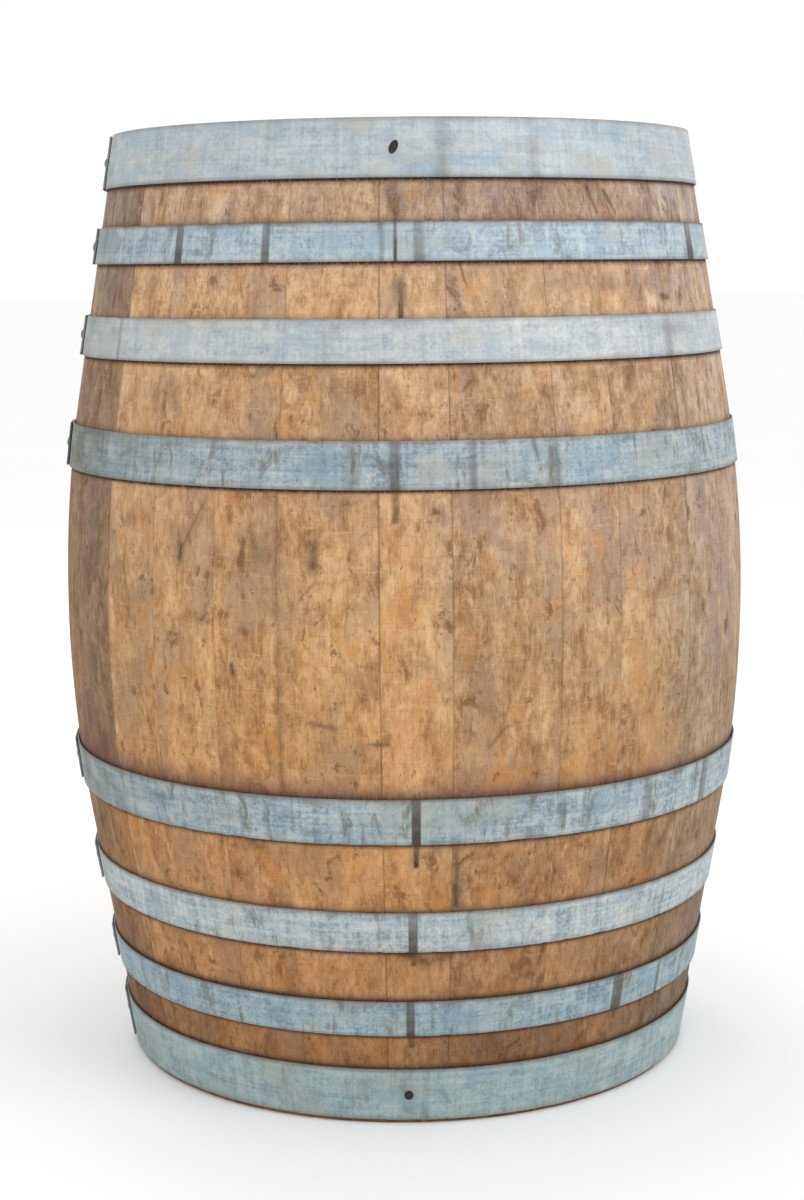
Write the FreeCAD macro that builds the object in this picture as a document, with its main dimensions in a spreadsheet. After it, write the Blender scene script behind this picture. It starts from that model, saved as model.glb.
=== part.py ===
import FreeCAD, Part
import math
import os

import Sketcher
from FreeCAD import Placement, Rotation, Vector

# Oak wine barrel of 225 litres, standing on end.
# Millimetres and degrees. Origin on the barrel's axis in the plane of the bottom stave ends, +Z up.
# Bearings are angles round the axis: 0 is the front (-Y), +90 is the right-hand side (+X),
# 180 is the bung (+Y) and -90 is the side where every hoop is lapped (-X).

document = FreeCAD.newDocument("wine_barrel")
sheet = document.addObject("Spreadsheet::Sheet", "Sheet")

DRIVING = {
    # the staves' long section: a circular bow with straight tapers that carry on from its ends
    "overall_height": 930,
    "bilge_radius": 346,
    "bow_radius": 1285,
    "bow_half_height": 213.5,
    "stave_thickness": 27,
    "end_face_width": 14,
    "chime_bevel_height": 24,
    "croze_distance": 50,
    "croze_width": 5,
    "croze_depth": 5,
    "first_joint_bearing": -80,
    # galvanised hoops: distance from the nearer end to the near edge, and width of the strip
    "top_chime_edge": 1,
    "bottom_chime_edge": 4.5,
    "chime_width": 52.4,
    "quarter_edge": 91.5,
    "quarter_width": 35,
    "french_edge": 176.5,
    "french_width": 39,
    "bilge_edge": 282.5,
    "bilge_width": 43,
    "hoop_thickness": 1.8,
    "hoop_gap": 0.2,
    "lap_bearing": -95.5,
    "lap_angle": 15,
    # rivets through the laps, and nails through the chime hoops
    "rivet_spacing_angle": 7,
    "rivet_head_radius": 5,
    "rivet_head_height": 2.4,
    "rivet_shank_radius": 2.6,
    "nail_head_radius": 5,
    "nail_head_height": 1.8,
    "nail_shank_radius": 1.3,
    "nail_depth": 18,
    "top_nail_bearing": -1.2,
    "bottom_nail_bearing": 0,
    "nail_spacing_angle": 118,
    "pin_clearance": 0.05,
    # heads: boards with a tongue that sits in the croze, bevelled on both faces
    "head_outer_height": 6,
    "head_inner_height": 16,
    "head_tongue_length": 5.5,
    "head_outer_bevel": 8,
    "head_inner_bevel": 24,
    "head_clearance": 0.3,
    "tongue_clearance": 0.15,
    "dowel_radius": 4,
    "dowel_length": 40,
    "dowel_offset": 110,
    "rush_thickness": 0.8,
    "rush_height": 18,
    "rush_end_margin": 14,
    # bung and its tapered hole in the bung stave
    "bung_hole_radius": 25,
    "bung_taper": 0.055,
    "bung_clearance": 0.3,
    "bung_inner_reach": 5,
    "bung_outer_reach": 11,
    "bung_flange_radius": 30,
    "bung_flange_lift": 1.6,
    "bung_corner": 3,
}

# The angle that each stave takes up, going round from the first joint. No two are quite alike.
STAVES_BEFORE_BUNG = [12, 13.5, 12.1, 12.3, 10.8, 15.6, 10.9, 17.1, 10.7, 16.1,
                      11.4, 10.5, 13.2, 11, 14.5, 10.6, 12.4, 13.6, 11.5, 12.2]
BUNG_STAVE_ANGLE = 16
STAVES_AFTER_BUNG = [12.8, 14.2, 11.3, 15.1, 12, 13.9, 12.7]

# Head boards in order across the head; the seventh takes what is left.
HEAD_BOARD_WIDTHS = [58, 86, 74, 95, 80, 90]

HOOP_KINDS = ["chime", "quarter", "french", "bilge"]
NAILS_PER_CHIME_HOOP = 3
X_AXIS = Vector(1, 0, 0)
Y_AXIS = Vector(0, 1, 0)
Z_AXIS = Vector(0, 0, 1)


def fill_sheet(values):
    """Write one named cell for each driving dimension."""
    for row, (name, number) in enumerate(values.items(), start=1):
        sheet.set(f"A{row}", name)
        sheet.set(f"B{row}", str(number))
        sheet.setAlias(f"B{row}", name)
    document.recompute()


def size(name):
    return float(sheet.get(name))


def bind(thing, **expressions):
    """Bind properties to the sheet; a double underscore in a keyword stands for a dot."""
    for name, expression in expressions.items():
        thing.setExpression(name.replace("__", "."), expression)


# ---------------------------------------------------------------- shape of the stave surface

SHEET_HALF = "Sheet.overall_height / 2"
TAPER_ANGLE = "asin(Sheet.bow_half_height / Sheet.bow_radius)"
BOW_END_RADIUS = f"(Sheet.bilge_radius - Sheet.bow_radius * (1 - cos({TAPER_ANGLE})))"


def radius_expression(distance, on_bow=False):
    """Outer radius of the staves at a distance from the nearer end, as an expression."""
    height = f"({SHEET_HALF} - ({distance}))"
    if on_bow:
        return f"(Sheet.bilge_radius - Sheet.bow_radius + sqrt(Sheet.bow_radius ^ 2 - {height} ^ 2))"
    return f"({BOW_END_RADIUS} - tan({TAPER_ANGLE}) * ({height} - Sheet.bow_half_height))"


def taper_angle():
    return math.asin(size("bow_half_height") / size("bow_radius"))


def stave_radius(distance, inset=0):
    """Radius of the stave surface, or of a surface inset below it, at a distance from an end."""
    bow = size("bow_radius") - inset
    centre = size("bilge_radius") - size("bow_radius")
    height = size("overall_height") / 2 - distance
    limit = bow * math.sin(taper_angle())
    if height <= limit:
        return centre + math.sqrt(bow ** 2 - height ** 2)
    return centre + bow * math.cos(taper_angle()) - math.tan(taper_angle()) * (height - limit)


def stave_slope(distance):
    """Angle by which the stave surface leans towards the axis at a distance from an end."""
    height = size("overall_height") / 2 - distance
    return min(math.asin(min(height / size("bow_radius"), 1)), taper_angle())


def heading(bearing):
    """Rotation about +Z that turns +X to a bearing."""
    return Rotation(Z_AXIS, bearing - 90)


# ---------------------------------------------------------------- sketch helpers

def new_body(name):
    body = document.addObject("PartDesign::Body", name)
    body.Label = name
    return body


def origin_plane(body, role):
    return next(f for f in body.Origin.OriginFeatures if f.Role == role)


def new_sketch(body, name):
    """A sketch on the body's XZ plane: x is the radius and y the height."""
    sketch = body.newObject("Sketcher::SketchObject", name)
    sketch.AttachmentSupport = [(origin_plane(body, "XZ_Plane"), "")]
    sketch.MapMode = "FlatFace"
    return sketch


def draw_outline(sketch, points):
    """A closed chain of straight lines; line number i starts at point number i."""
    closed = points + points[:1]
    for start, end in zip(closed, closed[1:]):
        sketch.addGeometry(Part.LineSegment(Vector(*start, 0), Vector(*end, 0)), False)
    for line in range(len(points)):
        following = (line + 1) % len(points)
        sketch.addConstraint(Sketcher.Constraint("Coincident", line, 2, following, 1))


def relate(sketch, kind, *where):
    sketch.addConstraint(Sketcher.Constraint(kind, *where))


def present_value(sketch, kind, where):
    """What a dimension measures before its constraint is added."""
    if kind == "Radius":
        return sketch.Geometry[where[0]].Radius
    if kind == "Distance":
        return sketch.Geometry[where[0]].length()
    ends = [sketch.getPoint(where[i], where[i + 1]) for i in range(0, len(where), 2)]
    span = ends[-1] - ends[0] if len(ends) == 2 else ends[0]
    return span.x if kind == "DistanceX" else span.y


def dimension(sketch, kind, where, expression):
    """Add a dimension and bind it to the sheet."""
    value = present_value(sketch, kind, where)
    index = sketch.addConstraint(Sketcher.Constraint(kind, *where, value))
    sketch.setExpression(f"Constraints[{index}]", expression)


def revolve(body, sketch, angle, symmetric=False):
    """Turn a sketch about the body's Z axis."""
    feature = body.newObject("PartDesign::Revolution", f"{sketch.Name}_turn")
    feature.Profile = sketch
    feature.ReferenceAxis = (sketch, ["V_Axis"])
    feature.Midplane = symmetric
    feature.setExpression("Angle", angle)
    body.Tip = feature
    return feature


# ---------------------------------------------------------------- staves

def draw_stave_section(sketch):
    """Long section of a stave: bow, tapers, end faces, chime bevels and croze grooves."""
    height = size("overall_height")
    half = height / 2
    thickness = size("stave_thickness")
    bow = size("bow_radius")
    centre = size("bilge_radius") - bow
    slope = taper_angle()
    croze_top = size("croze_distance") + size("croze_width") / 2
    croze_end = size("croze_distance") - size("croze_width") / 2
    groove = stave_radius(croze_end, thickness) + size("croze_depth")

    # The upper half of the inside, from the end face down to the inner bow.
    inner_end = bow - thickness
    upper = [
        (stave_radius(0), height),
        (stave_radius(0) - size("end_face_width"), height),
        (stave_radius(size("chime_bevel_height"), thickness), height - size("chime_bevel_height")),
        (stave_radius(croze_end, thickness), height - croze_end),
        (groove, height - croze_end),
        (groove, height - croze_top),
        (stave_radius(croze_top, thickness), height - croze_top),
        (centre + inner_end * math.cos(slope), half + inner_end * math.sin(slope)),
    ]
    lower = [(x, height - y) for x, y in reversed(upper)]
    outer_start = (centre + bow * math.cos(slope), half - bow * math.sin(slope))
    outer_end = (outer_start[0], height - outer_start[1])

    def line(start, end):
        sketch.addGeometry(Part.LineSegment(Vector(*start, 0), Vector(*end, 0)), False)

    def arc(radius):
        circle = Part.Circle(Vector(centre, half, 0), Z_AXIS, radius)
        sketch.addGeometry(Part.ArcOfCircle(circle, -slope, slope), False)

    line(lower[-1], outer_start)                       # 0: lower taper, outside
    arc(bow)                                           # 1: bow, outside
    line(outer_end, upper[0])                          # 2: upper taper, outside
    for start, end in zip(upper, upper[1:]):           # 3 to 9: upper end and croze
        line(start, end)
    arc(inner_end)                                     # 10: bow, inside
    for start, end in zip(lower, lower[1:]):           # 11 to 17: lower croze and end
        line(start, end)

    for first, second in [(2, 3), (3, 4), (4, 5), (5, 6), (6, 7), (7, 8), (8, 9),
                          (11, 12), (12, 13), (13, 14), (14, 15), (15, 16), (16, 17), (17, 0)]:
        relate(sketch, "Coincident", first, 2, second, 1)
    relate(sketch, "Tangent", 0, 2, 1, 1)
    relate(sketch, "Tangent", 1, 2, 2, 1)
    relate(sketch, "Tangent", 9, 2, 10, 2)
    relate(sketch, "Tangent", 10, 1, 11, 1)
    relate(sketch, "Coincident", 1, 3, 10, 3)
    dimension(sketch, "DistanceX", (1, 3, -1, 1), "Sheet.bow_radius - Sheet.bilge_radius")
    dimension(sketch, "DistanceY", (-1, 1, 1, 3), SHEET_HALF)
    dimension(sketch, "Radius", (1,), "Sheet.bow_radius")
    dimension(sketch, "Radius", (10,), "Sheet.bow_radius - Sheet.stave_thickness")
    dimension(sketch, "DistanceY", (1, 3, 1, 2), "Sheet.bow_half_height")
    dimension(sketch, "DistanceY", (1, 1, 1, 3), "Sheet.bow_half_height")
    relate(sketch, "Parallel", 2, 9)
    relate(sketch, "Parallel", 0, 11)

    dimension(sketch, "DistanceY", (-1, 1, 2, 2), "Sheet.overall_height")
    relate(sketch, "PointOnObject", 0, 1, -1)
    for end_face, bevel, lip, groove_near, wall, groove_far, taper in [
            (3, 4, 5, 6, 7, 8, 9), (17, 16, 15, 14, 13, 12, 11)]:
        relate(sketch, "Horizontal", end_face)
        dimension(sketch, "Distance", (end_face,), "Sheet.end_face_width")
        relate(sketch, "Parallel", lip, taper)
        for edge in (groove_near, groove_far):
            relate(sketch, "Horizontal", edge)
        relate(sketch, "Vertical", wall)
        dimension(sketch, "Distance", (wall,), "Sheet.croze_width")
        dimension(sketch, "Distance", (groove_near,), "Sheet.croze_depth")
    near_edge = "Sheet.croze_distance - Sheet.croze_width / 2"
    dimension(sketch, "DistanceY", (4, 2, 3, 1), "Sheet.chime_bevel_height")
    dimension(sketch, "DistanceY", (5, 2, 3, 1), near_edge)
    dimension(sketch, "DistanceY", (-1, 1, 16, 1), "Sheet.chime_bevel_height")
    dimension(sketch, "DistanceY", (-1, 1, 15, 1), near_edge)
    relate(sketch, "PointOnObject", 5, 1, 9)
    relate(sketch, "PointOnObject", 15, 2, 11)


def stave_plan():
    """Name and sheet cell of each stave, in order round the barrel."""
    before = [f"stave_{i:02d}" for i in range(1, len(STAVES_BEFORE_BUNG) + 1)]
    first_after = len(before) + 1
    after = [f"stave_{i:02d}" for i in range(first_after, first_after + len(STAVES_AFTER_BUNG))]
    names = before + ["bung_stave"] + after
    angles = STAVES_BEFORE_BUNG + [BUNG_STAVE_ANGLE] + STAVES_AFTER_BUNG
    return dict(zip(names, angles))


def make_staves(plan):
    """Staves with radial joints, each turned to its place."""
    staves = {}
    start = "Sheet.first_joint_bearing - 90"
    for name in plan:
        body = new_body(name)
        sketch = new_sketch(body, f"{name}_section")
        draw_stave_section(sketch)
        angle = f"Sheet.{name}_angle"
        revolve(body, sketch, angle, symmetric=True)
        body.Placement = Placement(Vector(), heading(0))
        bind(body, Placement__Rotation__Angle=f"{start} + {angle} / 2 + 360")
        body.Placement.Rotation.Axis = Z_AXIS
        start += f" + {angle}"
        staves[name] = body
    return staves


def stave_at(plan, bearing):
    """The name of the stave that covers a bearing."""
    edge = size("first_joint_bearing")
    turned = (bearing - edge) % 360
    covered = 0
    for name, angle in plan.items():
        covered += angle
        if turned < covered:
            return name
    return name


# ---------------------------------------------------------------- pins: rivets and nails

def hoop_seat(end, kind, bearing, layers):
    """Where a pin's head rests on the middle of a hoop strip; local +Z points into the barrel."""
    distance = hoop_distance(end, kind)
    lift = size("hoop_gap") + layers * size("hoop_thickness") + size("pin_clearance")
    side = 1 if end == "top" else -1
    slope = stave_slope(distance)
    height = size("overall_height") - distance if end == "top" else distance
    radius = stave_radius(distance) + lift * math.cos(slope)
    turn = heading(bearing)
    position = turn.multVec(Vector(radius, 0, height + side * lift * math.sin(slope)))
    return Placement(position, turn.multiply(Rotation(Y_AXIS, -90 - side * math.degrees(slope))))


def domed_pin(name, kind, depth, seat):
    """A domed head on a shank that reaches to a depth below the head."""
    head_radius, head_height = f"Sheet.{kind}_head_radius", f"Sheet.{kind}_head_height"
    ball = f"(({head_radius} ^ 2 + {head_height} ^ 2) / (2 * {head_height}))"
    dome = document.addObject("Part::Sphere", f"{name}_dome")
    dome.Angle1 = -90
    bind(dome, Radius=ball, Angle2=f"-asin(1 - {head_height} / {ball})",
         Placement__Base__z=f"{ball} - {head_height}")
    shank = document.addObject("Part::Cylinder", f"{name}_shank")
    bind(shank, Radius=f"Sheet.{kind}_shank_radius", Height=f"{depth} + {head_height} / 2",
         Placement__Base__z=f"-{head_height} / 2")
    pin = document.addObject("Part::Fuse", name)
    pin.Base, pin.Tool = dome, shank
    pin.Placement = seat
    return pin


def pin_hole(name, kind, depth, seat):
    """The tool that cuts a pin's hole, open at the head's end and a little deeper than the pin."""
    tool = document.addObject("Part::Cylinder", name)
    start = seat.multiply(Placement(Vector(0, 0, -size("hoop_thickness")), Rotation()))
    tool.Placement = start
    bind(tool, Radius=f"Sheet.{kind}_shank_radius + Sheet.pin_clearance",
         Height=f"{depth} + 2 * Sheet.hoop_thickness")
    return tool


def group(name, things):
    """Separate solids in one object."""
    bundle = document.addObject("Part::Compound", name)
    bundle.Label = name
    bundle.Links = things
    return bundle


def cut_holes(name, base, tools):
    """The finished piece: a base with its holes cut."""
    piece = document.addObject("Part::Cut", f"{name}_drilled")
    piece.Base = base
    piece.Tool = group(f"{name}_hole_tools", tools)
    base.Label = f"{name}_blank"
    piece.Label = name
    return piece


# ---------------------------------------------------------------- hoops

def hoop_edge(end, kind):
    return f"{end}_chime_edge" if kind == "chime" else f"{kind}_edge"


def hoop_distance(end, kind):
    """Distance of the middle of a hoop from its own end of the barrel."""
    return size(hoop_edge(end, kind)) + size(f"{kind}_width") / 2


def draw_strip(sketch, end, kind, lift, thickness):
    """Section of a hoop strip that leans with the staves, lifted off them along the radius."""
    near = f"Sheet.{hoop_edge(end, kind)}"
    far = f"{near} + Sheet.{kind}_width"
    distances = [size(hoop_edge(end, kind)), size(hoop_edge(end, kind)) + size(f"{kind}_width")]
    heights = distances
    if end == "top":
        heights = [size("overall_height") - distance for distance in distances]
    inner = [(stave_radius(d) + size("hoop_gap"), y) for d, y in zip(distances, heights)]
    outer = [(x + size("hoop_thickness"), y) for x, y in inner]
    draw_outline(sketch, [inner[0], inner[1], outer[1], outer[0]])

    on_bow = kind == "bilge"
    for point, distance in ((1, near), (2, far)):
        height = distance if end == "bottom" else f"Sheet.overall_height - ({distance})"
        dimension(sketch, "DistanceX", (-1, 1, 0, point), f"{radius_expression(distance, on_bow)} + {lift}")
        dimension(sketch, "DistanceY", (-1, 1, 0, point), height)
    relate(sketch, "Perpendicular", 0, 1)
    relate(sketch, "Perpendicular", 0, 3)
    relate(sketch, "Parallel", 0, 2)
    dimension(sketch, "Distance", (3,), thickness)


def make_hoop(end, kind):
    """A ring of flat strip with a second layer where its ends lap."""
    name = f"{end}_{kind}_hoop"
    body = new_body(name)
    ring = new_sketch(body, f"{name}_strip")
    draw_strip(ring, end, kind, "Sheet.hoop_gap", "Sheet.hoop_thickness")
    revolve(body, ring, "360")
    lap = new_sketch(body, f"{name}_lap")
    draw_strip(lap, end, kind, "Sheet.hoop_gap + Sheet.hoop_thickness / 2", "1.5 * Sheet.hoop_thickness")
    revolve(body, lap, "Sheet.lap_angle")
    body.Placement = Placement(Vector(), heading(size("lap_bearing")))
    return body


def make_hoops_and_pins(staves, plan):
    """Eight hoops with their rivets and nails, and the staves that take the nails."""
    pieces = []
    lap_middle = size("lap_bearing") + size("lap_angle") / 2
    rivet_depth = "(2 * Sheet.hoop_thickness)"
    nail_reach = "(Sheet.nail_depth + Sheet.hoop_thickness)"
    for end in ("top", "bottom"):
        rivets, nails = [], []
        for kind in HOOP_KINDS:
            hoop = make_hoop(end, kind)
            name = hoop.Label
            tools = []
            for number, side in enumerate((-1, 1), start=1):
                bearing = lap_middle + side * size("rivet_spacing_angle") / 2
                seat = hoop_seat(end, kind, bearing, 2)
                rivets.append(domed_pin(f"{name}_rivet_{number}", "rivet", rivet_depth, seat))
                tools.append(pin_hole(f"{name}_rivet_hole_{number}", "rivet", rivet_depth, seat))
            if kind == "chime":
                for number in range(NAILS_PER_CHIME_HOOP):
                    bearing = size(f"{end}_nail_bearing") + number * size("nail_spacing_angle")
                    seat = hoop_seat(end, kind, bearing, 1)
                    nail_name = f"{end}_nail_{number + 1}"
                    nails.append(domed_pin(nail_name, "nail", nail_reach, seat))
                    hole = pin_hole(f"{nail_name}_hole", "nail", nail_reach, seat)
                    tools.append(hole)
                    staves[stave_at(plan, bearing)][1].append(hole)
            pieces.append(cut_holes(name, hoop, tools))
        pieces.append(group(f"{end}_hoop_rivets", rivets))
        pieces.append(group(f"{end}_hoop_nails", nails))
    return pieces


# ---------------------------------------------------------------- heads

HEAD_RADIUS = (f"({radius_expression('Sheet.croze_distance - Sheet.croze_width / 2')}"
               f" - Sheet.stave_thickness / cos({TAPER_ANGLE})"
               " + Sheet.croze_depth - Sheet.head_clearance)")


def head_radius():
    croze_end = size("croze_distance") - size("croze_width") / 2
    inside = stave_radius(croze_end, size("stave_thickness"))
    return inside + size("croze_depth") - size("head_clearance")


def make_head_disc():
    """The whole head before it is divided into boards; z = 0 is the middle of its tongue."""
    body = new_body("head_disc")
    sketch = new_sketch(body, "head_section")
    outside, inside = size("head_outer_height"), -size("head_inner_height")
    rim = head_radius()
    root = rim - size("head_tongue_length")
    tongue = size("croze_width") / 2 - size("tongue_clearance")
    draw_outline(sketch, [
        (0, inside), (root - size("head_inner_bevel"), inside), (root, -tongue), (rim, -tongue),
        (rim, tongue), (root, tongue), (root - size("head_outer_bevel"), outside), (0, outside)])
    half_tongue = "Sheet.croze_width / 2 - Sheet.tongue_clearance"
    relate(sketch, "PointOnObject", 0, 1, -2)
    dimension(sketch, "DistanceY", (0, 1, -1, 1), "Sheet.head_inner_height")
    for line in (0, 2, 4, 6):
        relate(sketch, "Horizontal", line)
    for line in (3, 7):
        relate(sketch, "Vertical", line)
    dimension(sketch, "DistanceX", (1, 1, 2, 1), "Sheet.head_inner_bevel")
    dimension(sketch, "DistanceY", (2, 1, -1, 1), half_tongue)
    dimension(sketch, "DistanceX", (-1, 1, 2, 2), HEAD_RADIUS)
    dimension(sketch, "DistanceY", (-1, 1, 3, 2), half_tongue)
    dimension(sketch, "Distance", (2,), "Sheet.head_tongue_length")
    dimension(sketch, "Distance", (4,), "Sheet.head_tongue_length")
    dimension(sketch, "DistanceX", (6, 1, 5, 1), "Sheet.head_outer_bevel")
    dimension(sketch, "DistanceY", (-1, 1, 6, 1), "Sheet.head_outer_height")
    revolve(body, sketch, "360")
    return body


def box(name, **expressions):
    block = document.addObject("Part::Box", name)
    bind(block, **expressions)
    return block


def make_head(end, disc):
    """Seven boards on dowels with a strip of rush in each joint, then set in the croze."""
    count = len(HEAD_BOARD_WIDTHS) + 1
    joints = [f"-{HEAD_RADIUS}"]
    for number in range(1, count):
        joints.append(f"{joints[-1]} + Sheet.head_board_{number}_width")
    joints.append(HEAD_RADIUS)
    middle = "(Sheet.head_outer_height - Sheet.head_inner_height) / 2"

    dowels, holes, rushes = [], {number: [] for number in range(count + 1)}, []
    for number in range(1, count):
        for side, sign in (("left", "-"), ("right", "")):
            name = f"{end}_dowel_{number}_{side}"
            dowel = document.addObject("Part::Cylinder", name)
            hole = document.addObject("Part::Cylinder", f"{name}_hole")
            bind(dowel, Radius="Sheet.dowel_radius", Height="Sheet.dowel_length")
            bind(hole, Radius="Sheet.dowel_radius + Sheet.pin_clearance",
                 Height="Sheet.dowel_length + 2")
            for bar, extra in ((dowel, "0"), (hole, "1")):
                bar.Placement.Rotation = Rotation(X_AXIS, -90)
                reach = f"(Sheet.dowel_length / 2 + {extra})"
                bind(bar, Placement__Base__x=f"{sign}Sheet.dowel_offset", Placement__Base__z=middle,
                     Placement__Base__y=f"{joints[number]} - {reach}")
            dowels.append(dowel)
            holes[number].append(hole)
        reach = f"(sqrt({HEAD_RADIUS} ^ 2 - ({joints[number]}) ^ 2) - Sheet.rush_end_margin)"
        rushes.append(box(f"{end}_rush_{number}", Length=f"2 * {reach}", Width="Sheet.rush_thickness",
                          Height="Sheet.rush_height", Placement__Base__x=f"-{reach}",
                          Placement__Base__y=f"{joints[number]} - Sheet.rush_thickness / 2",
                          Placement__Base__z=f"{middle} - Sheet.rush_height / 2"))

    boards = []
    for number in range(1, count + 1):
        first_gap = "0" if number == 1 else "Sheet.rush_thickness / 2"
        last_gap = "0" if number == count else "Sheet.rush_thickness / 2"
        name = f"{end}_head_board_{number}"
        start = f"({joints[number - 1]} + {first_gap})"
        blank = document.addObject("Part::Common", f"{name}_blank")
        blank.Base = disc
        blank.Tool = box(f"{name}_width", Length=f"2 * {HEAD_RADIUS}", Placement__Base__y=start,
                         Width=f"{joints[number]} - {last_gap} - {start}",
                         Height="Sheet.head_outer_height + Sheet.head_inner_height",
                         Placement__Base__x=f"-{HEAD_RADIUS}",
                         Placement__Base__z="-Sheet.head_inner_height")
        boards.append(cut_holes(name, blank, holes[number - 1] + holes[number]))

    strips = group(f"{end}_rush_blanks", rushes)
    every_hole = [hole for number in sorted(holes) for hole in holes[number]]
    pieces = boards + [group(f"{end}_head_dowels", dowels),
                       cut_holes(f"{end}_head_rush", strips, every_hole)]
    for piece in pieces:
        if end == "top":
            bind(piece, Placement__Base__z="Sheet.overall_height - Sheet.croze_distance")
        else:
            piece.Placement = Placement(Vector(), Rotation(X_AXIS, 180))
            bind(piece, Placement__Base__z="Sheet.croze_distance")
    return pieces


# ---------------------------------------------------------------- bung and its hole

FACING_BACK = Rotation(X_AXIS, -90)


def bung_hole_tool():
    """The tapered reamer that cuts the hole; it runs clear of both faces of the stave."""
    reach = "Sheet.bung_outer_reach"
    tool = document.addObject("Part::Cone", "bung_hole_reamer")
    below = f"(Sheet.stave_thickness + {reach})"
    bind(tool, Radius1=f"Sheet.bung_hole_radius - Sheet.bung_taper * {below}",
         Radius2=f"Sheet.bung_hole_radius + Sheet.bung_taper * {reach}",
         Height=f"{below} + {reach}")
    tool.Placement.Rotation = FACING_BACK
    bind(tool, Placement__Base__y=f"Sheet.bilge_radius - {below}", Placement__Base__z=SHEET_HALF)
    return tool


def make_bung():
    """Tapered silicone bung with a flange; its own axis runs out of the hole."""
    body = new_body("bung")
    sketch = new_sketch(body, "bung_section")
    bottom = -size("stave_thickness") - size("bung_inner_reach")
    flange, top = size("bung_flange_lift"), size("bung_outer_reach")
    corner, wide = size("bung_corner"), size("bung_flange_radius")
    plug = size("bung_hole_radius") - size("bung_clearance")
    foot = plug + size("bung_taper") * bottom
    neck = plug + size("bung_taper") * flange
    draw_outline(sketch, [
        (0, bottom), (foot - corner, bottom), (foot, bottom + corner), (neck, flange),
        (wide, flange), (wide, top - corner), (wide - corner, top), (0, top)])
    plug_size = "Sheet.bung_hole_radius - Sheet.bung_clearance"
    depth = "(Sheet.stave_thickness + Sheet.bung_inner_reach)"
    relate(sketch, "PointOnObject", 0, 1, -2)
    for line in (0, 3, 6):
        relate(sketch, "Horizontal", line)
    for line in (4, 7):
        relate(sketch, "Vertical", line)
    dimension(sketch, "DistanceY", (0, 1, -1, 1), depth)
    dimension(sketch, "DistanceX", (0, 2, 1, 2), "Sheet.bung_corner")
    dimension(sketch, "DistanceY", (0, 2, 1, 2), "Sheet.bung_corner")
    dimension(sketch, "DistanceX", (-1, 1, 1, 2),
              f"{plug_size} - Sheet.bung_taper * ({depth} - Sheet.bung_corner)")
    dimension(sketch, "DistanceX", (-1, 1, 2, 2), f"{plug_size} + Sheet.bung_taper * Sheet.bung_flange_lift")
    dimension(sketch, "DistanceY", (-1, 1, 2, 2), "Sheet.bung_flange_lift")
    dimension(sketch, "DistanceX", (-1, 1, 4, 1), "Sheet.bung_flange_radius")
    dimension(sketch, "DistanceX", (5, 2, 5, 1), "Sheet.bung_corner")
    dimension(sketch, "DistanceY", (5, 1, 5, 2), "Sheet.bung_corner")
    dimension(sketch, "DistanceY", (-1, 1, 6, 1), "Sheet.bung_outer_reach")
    revolve(body, sketch, "360")
    body.Placement = Placement(Vector(), FACING_BACK)
    bind(body, Placement__Base__y="Sheet.bilge_radius", Placement__Base__z=SHEET_HALF)
    return body


# ---------------------------------------------------------------- assembly, checks and export

def check_document():
    """Stop if any object failed to recompute."""
    for thing in document.Objects:
        failed = [state for state in thing.State if state in ("Invalid", "Error")]
        if failed:
            raise SystemExit(f"{thing.Label} is {failed}")


def check_pieces(pieces):
    labels = [piece.Label for piece in pieces]
    if len(set(labels)) != len(labels):
        raise SystemExit("two pieces share a name")
    for piece in pieces:
        shape = piece.Shape
        if shape.isNull() or not shape.isValid() or not shape.Solids:
            raise SystemExit(f"{piece.Label} has no valid solid")


def capacity_litres():
    """Volume between the heads' inner faces, inside the staves."""
    layers = 400
    start = size("croze_distance") + size("head_inner_height")
    step = (size("overall_height") - 2 * start) / layers
    volume = 0
    for layer in range(layers):
        height = start + (layer + 0.5) * step
        distance = min(height, size("overall_height") - height)
        volume += math.pi * stave_radius(distance, size("stave_thickness")) ** 2 * step
    return volume / 1e6


plan = stave_plan()
if abs(sum(plan.values()) - 360) > 1e-6:
    raise SystemExit("the staves don't close the circle")
board_cells = {f"head_board_{i}_width": w for i, w in enumerate(HEAD_BOARD_WIDTHS, start=1)}
stave_cells = {f"{name}_angle": angle for name, angle in plan.items()}
fill_sheet({**DRIVING, **board_cells, **stave_cells})

staves = {name: (body, []) for name, body in make_staves(plan).items()}
staves["bung_stave"][1].append(bung_hole_tool())
pieces = make_hoops_and_pins(staves, plan)
for name, (body, tools) in staves.items():
    pieces.append(cut_holes(name, body, tools) if tools else body)
head_disc = make_head_disc()
for end in ("top", "bottom"):
    pieces += make_head(end, head_disc)
pieces.append(make_bung())

document.recompute()
check_document()
check_pieces(pieces)
os.makedirs("parts", exist_ok=True)
for piece in sorted(pieces, key=lambda one: one.Label):
    piece.Shape.exportStep(f"parts/{piece.Label}.step")

whole = Part.makeCompound([piece.Shape for piece in pieces]).BoundBox
print(f"{len(pieces)} nodes, {sum(len(p.Shape.Solids) for p in pieces)} solids")
print(f"size {whole.XLength:.1f} x {whole.YLength:.1f} x {whole.ZLength:.1f} mm")
print(f"stave end radius {stave_radius(0):.1f} mm, head radius {head_radius():.1f} mm")
print(f"capacity {capacity_litres():.1f} litres")
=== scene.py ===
import math

import bmesh
import bpy
import numpy as np
from mathutils import Matrix, Vector


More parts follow.
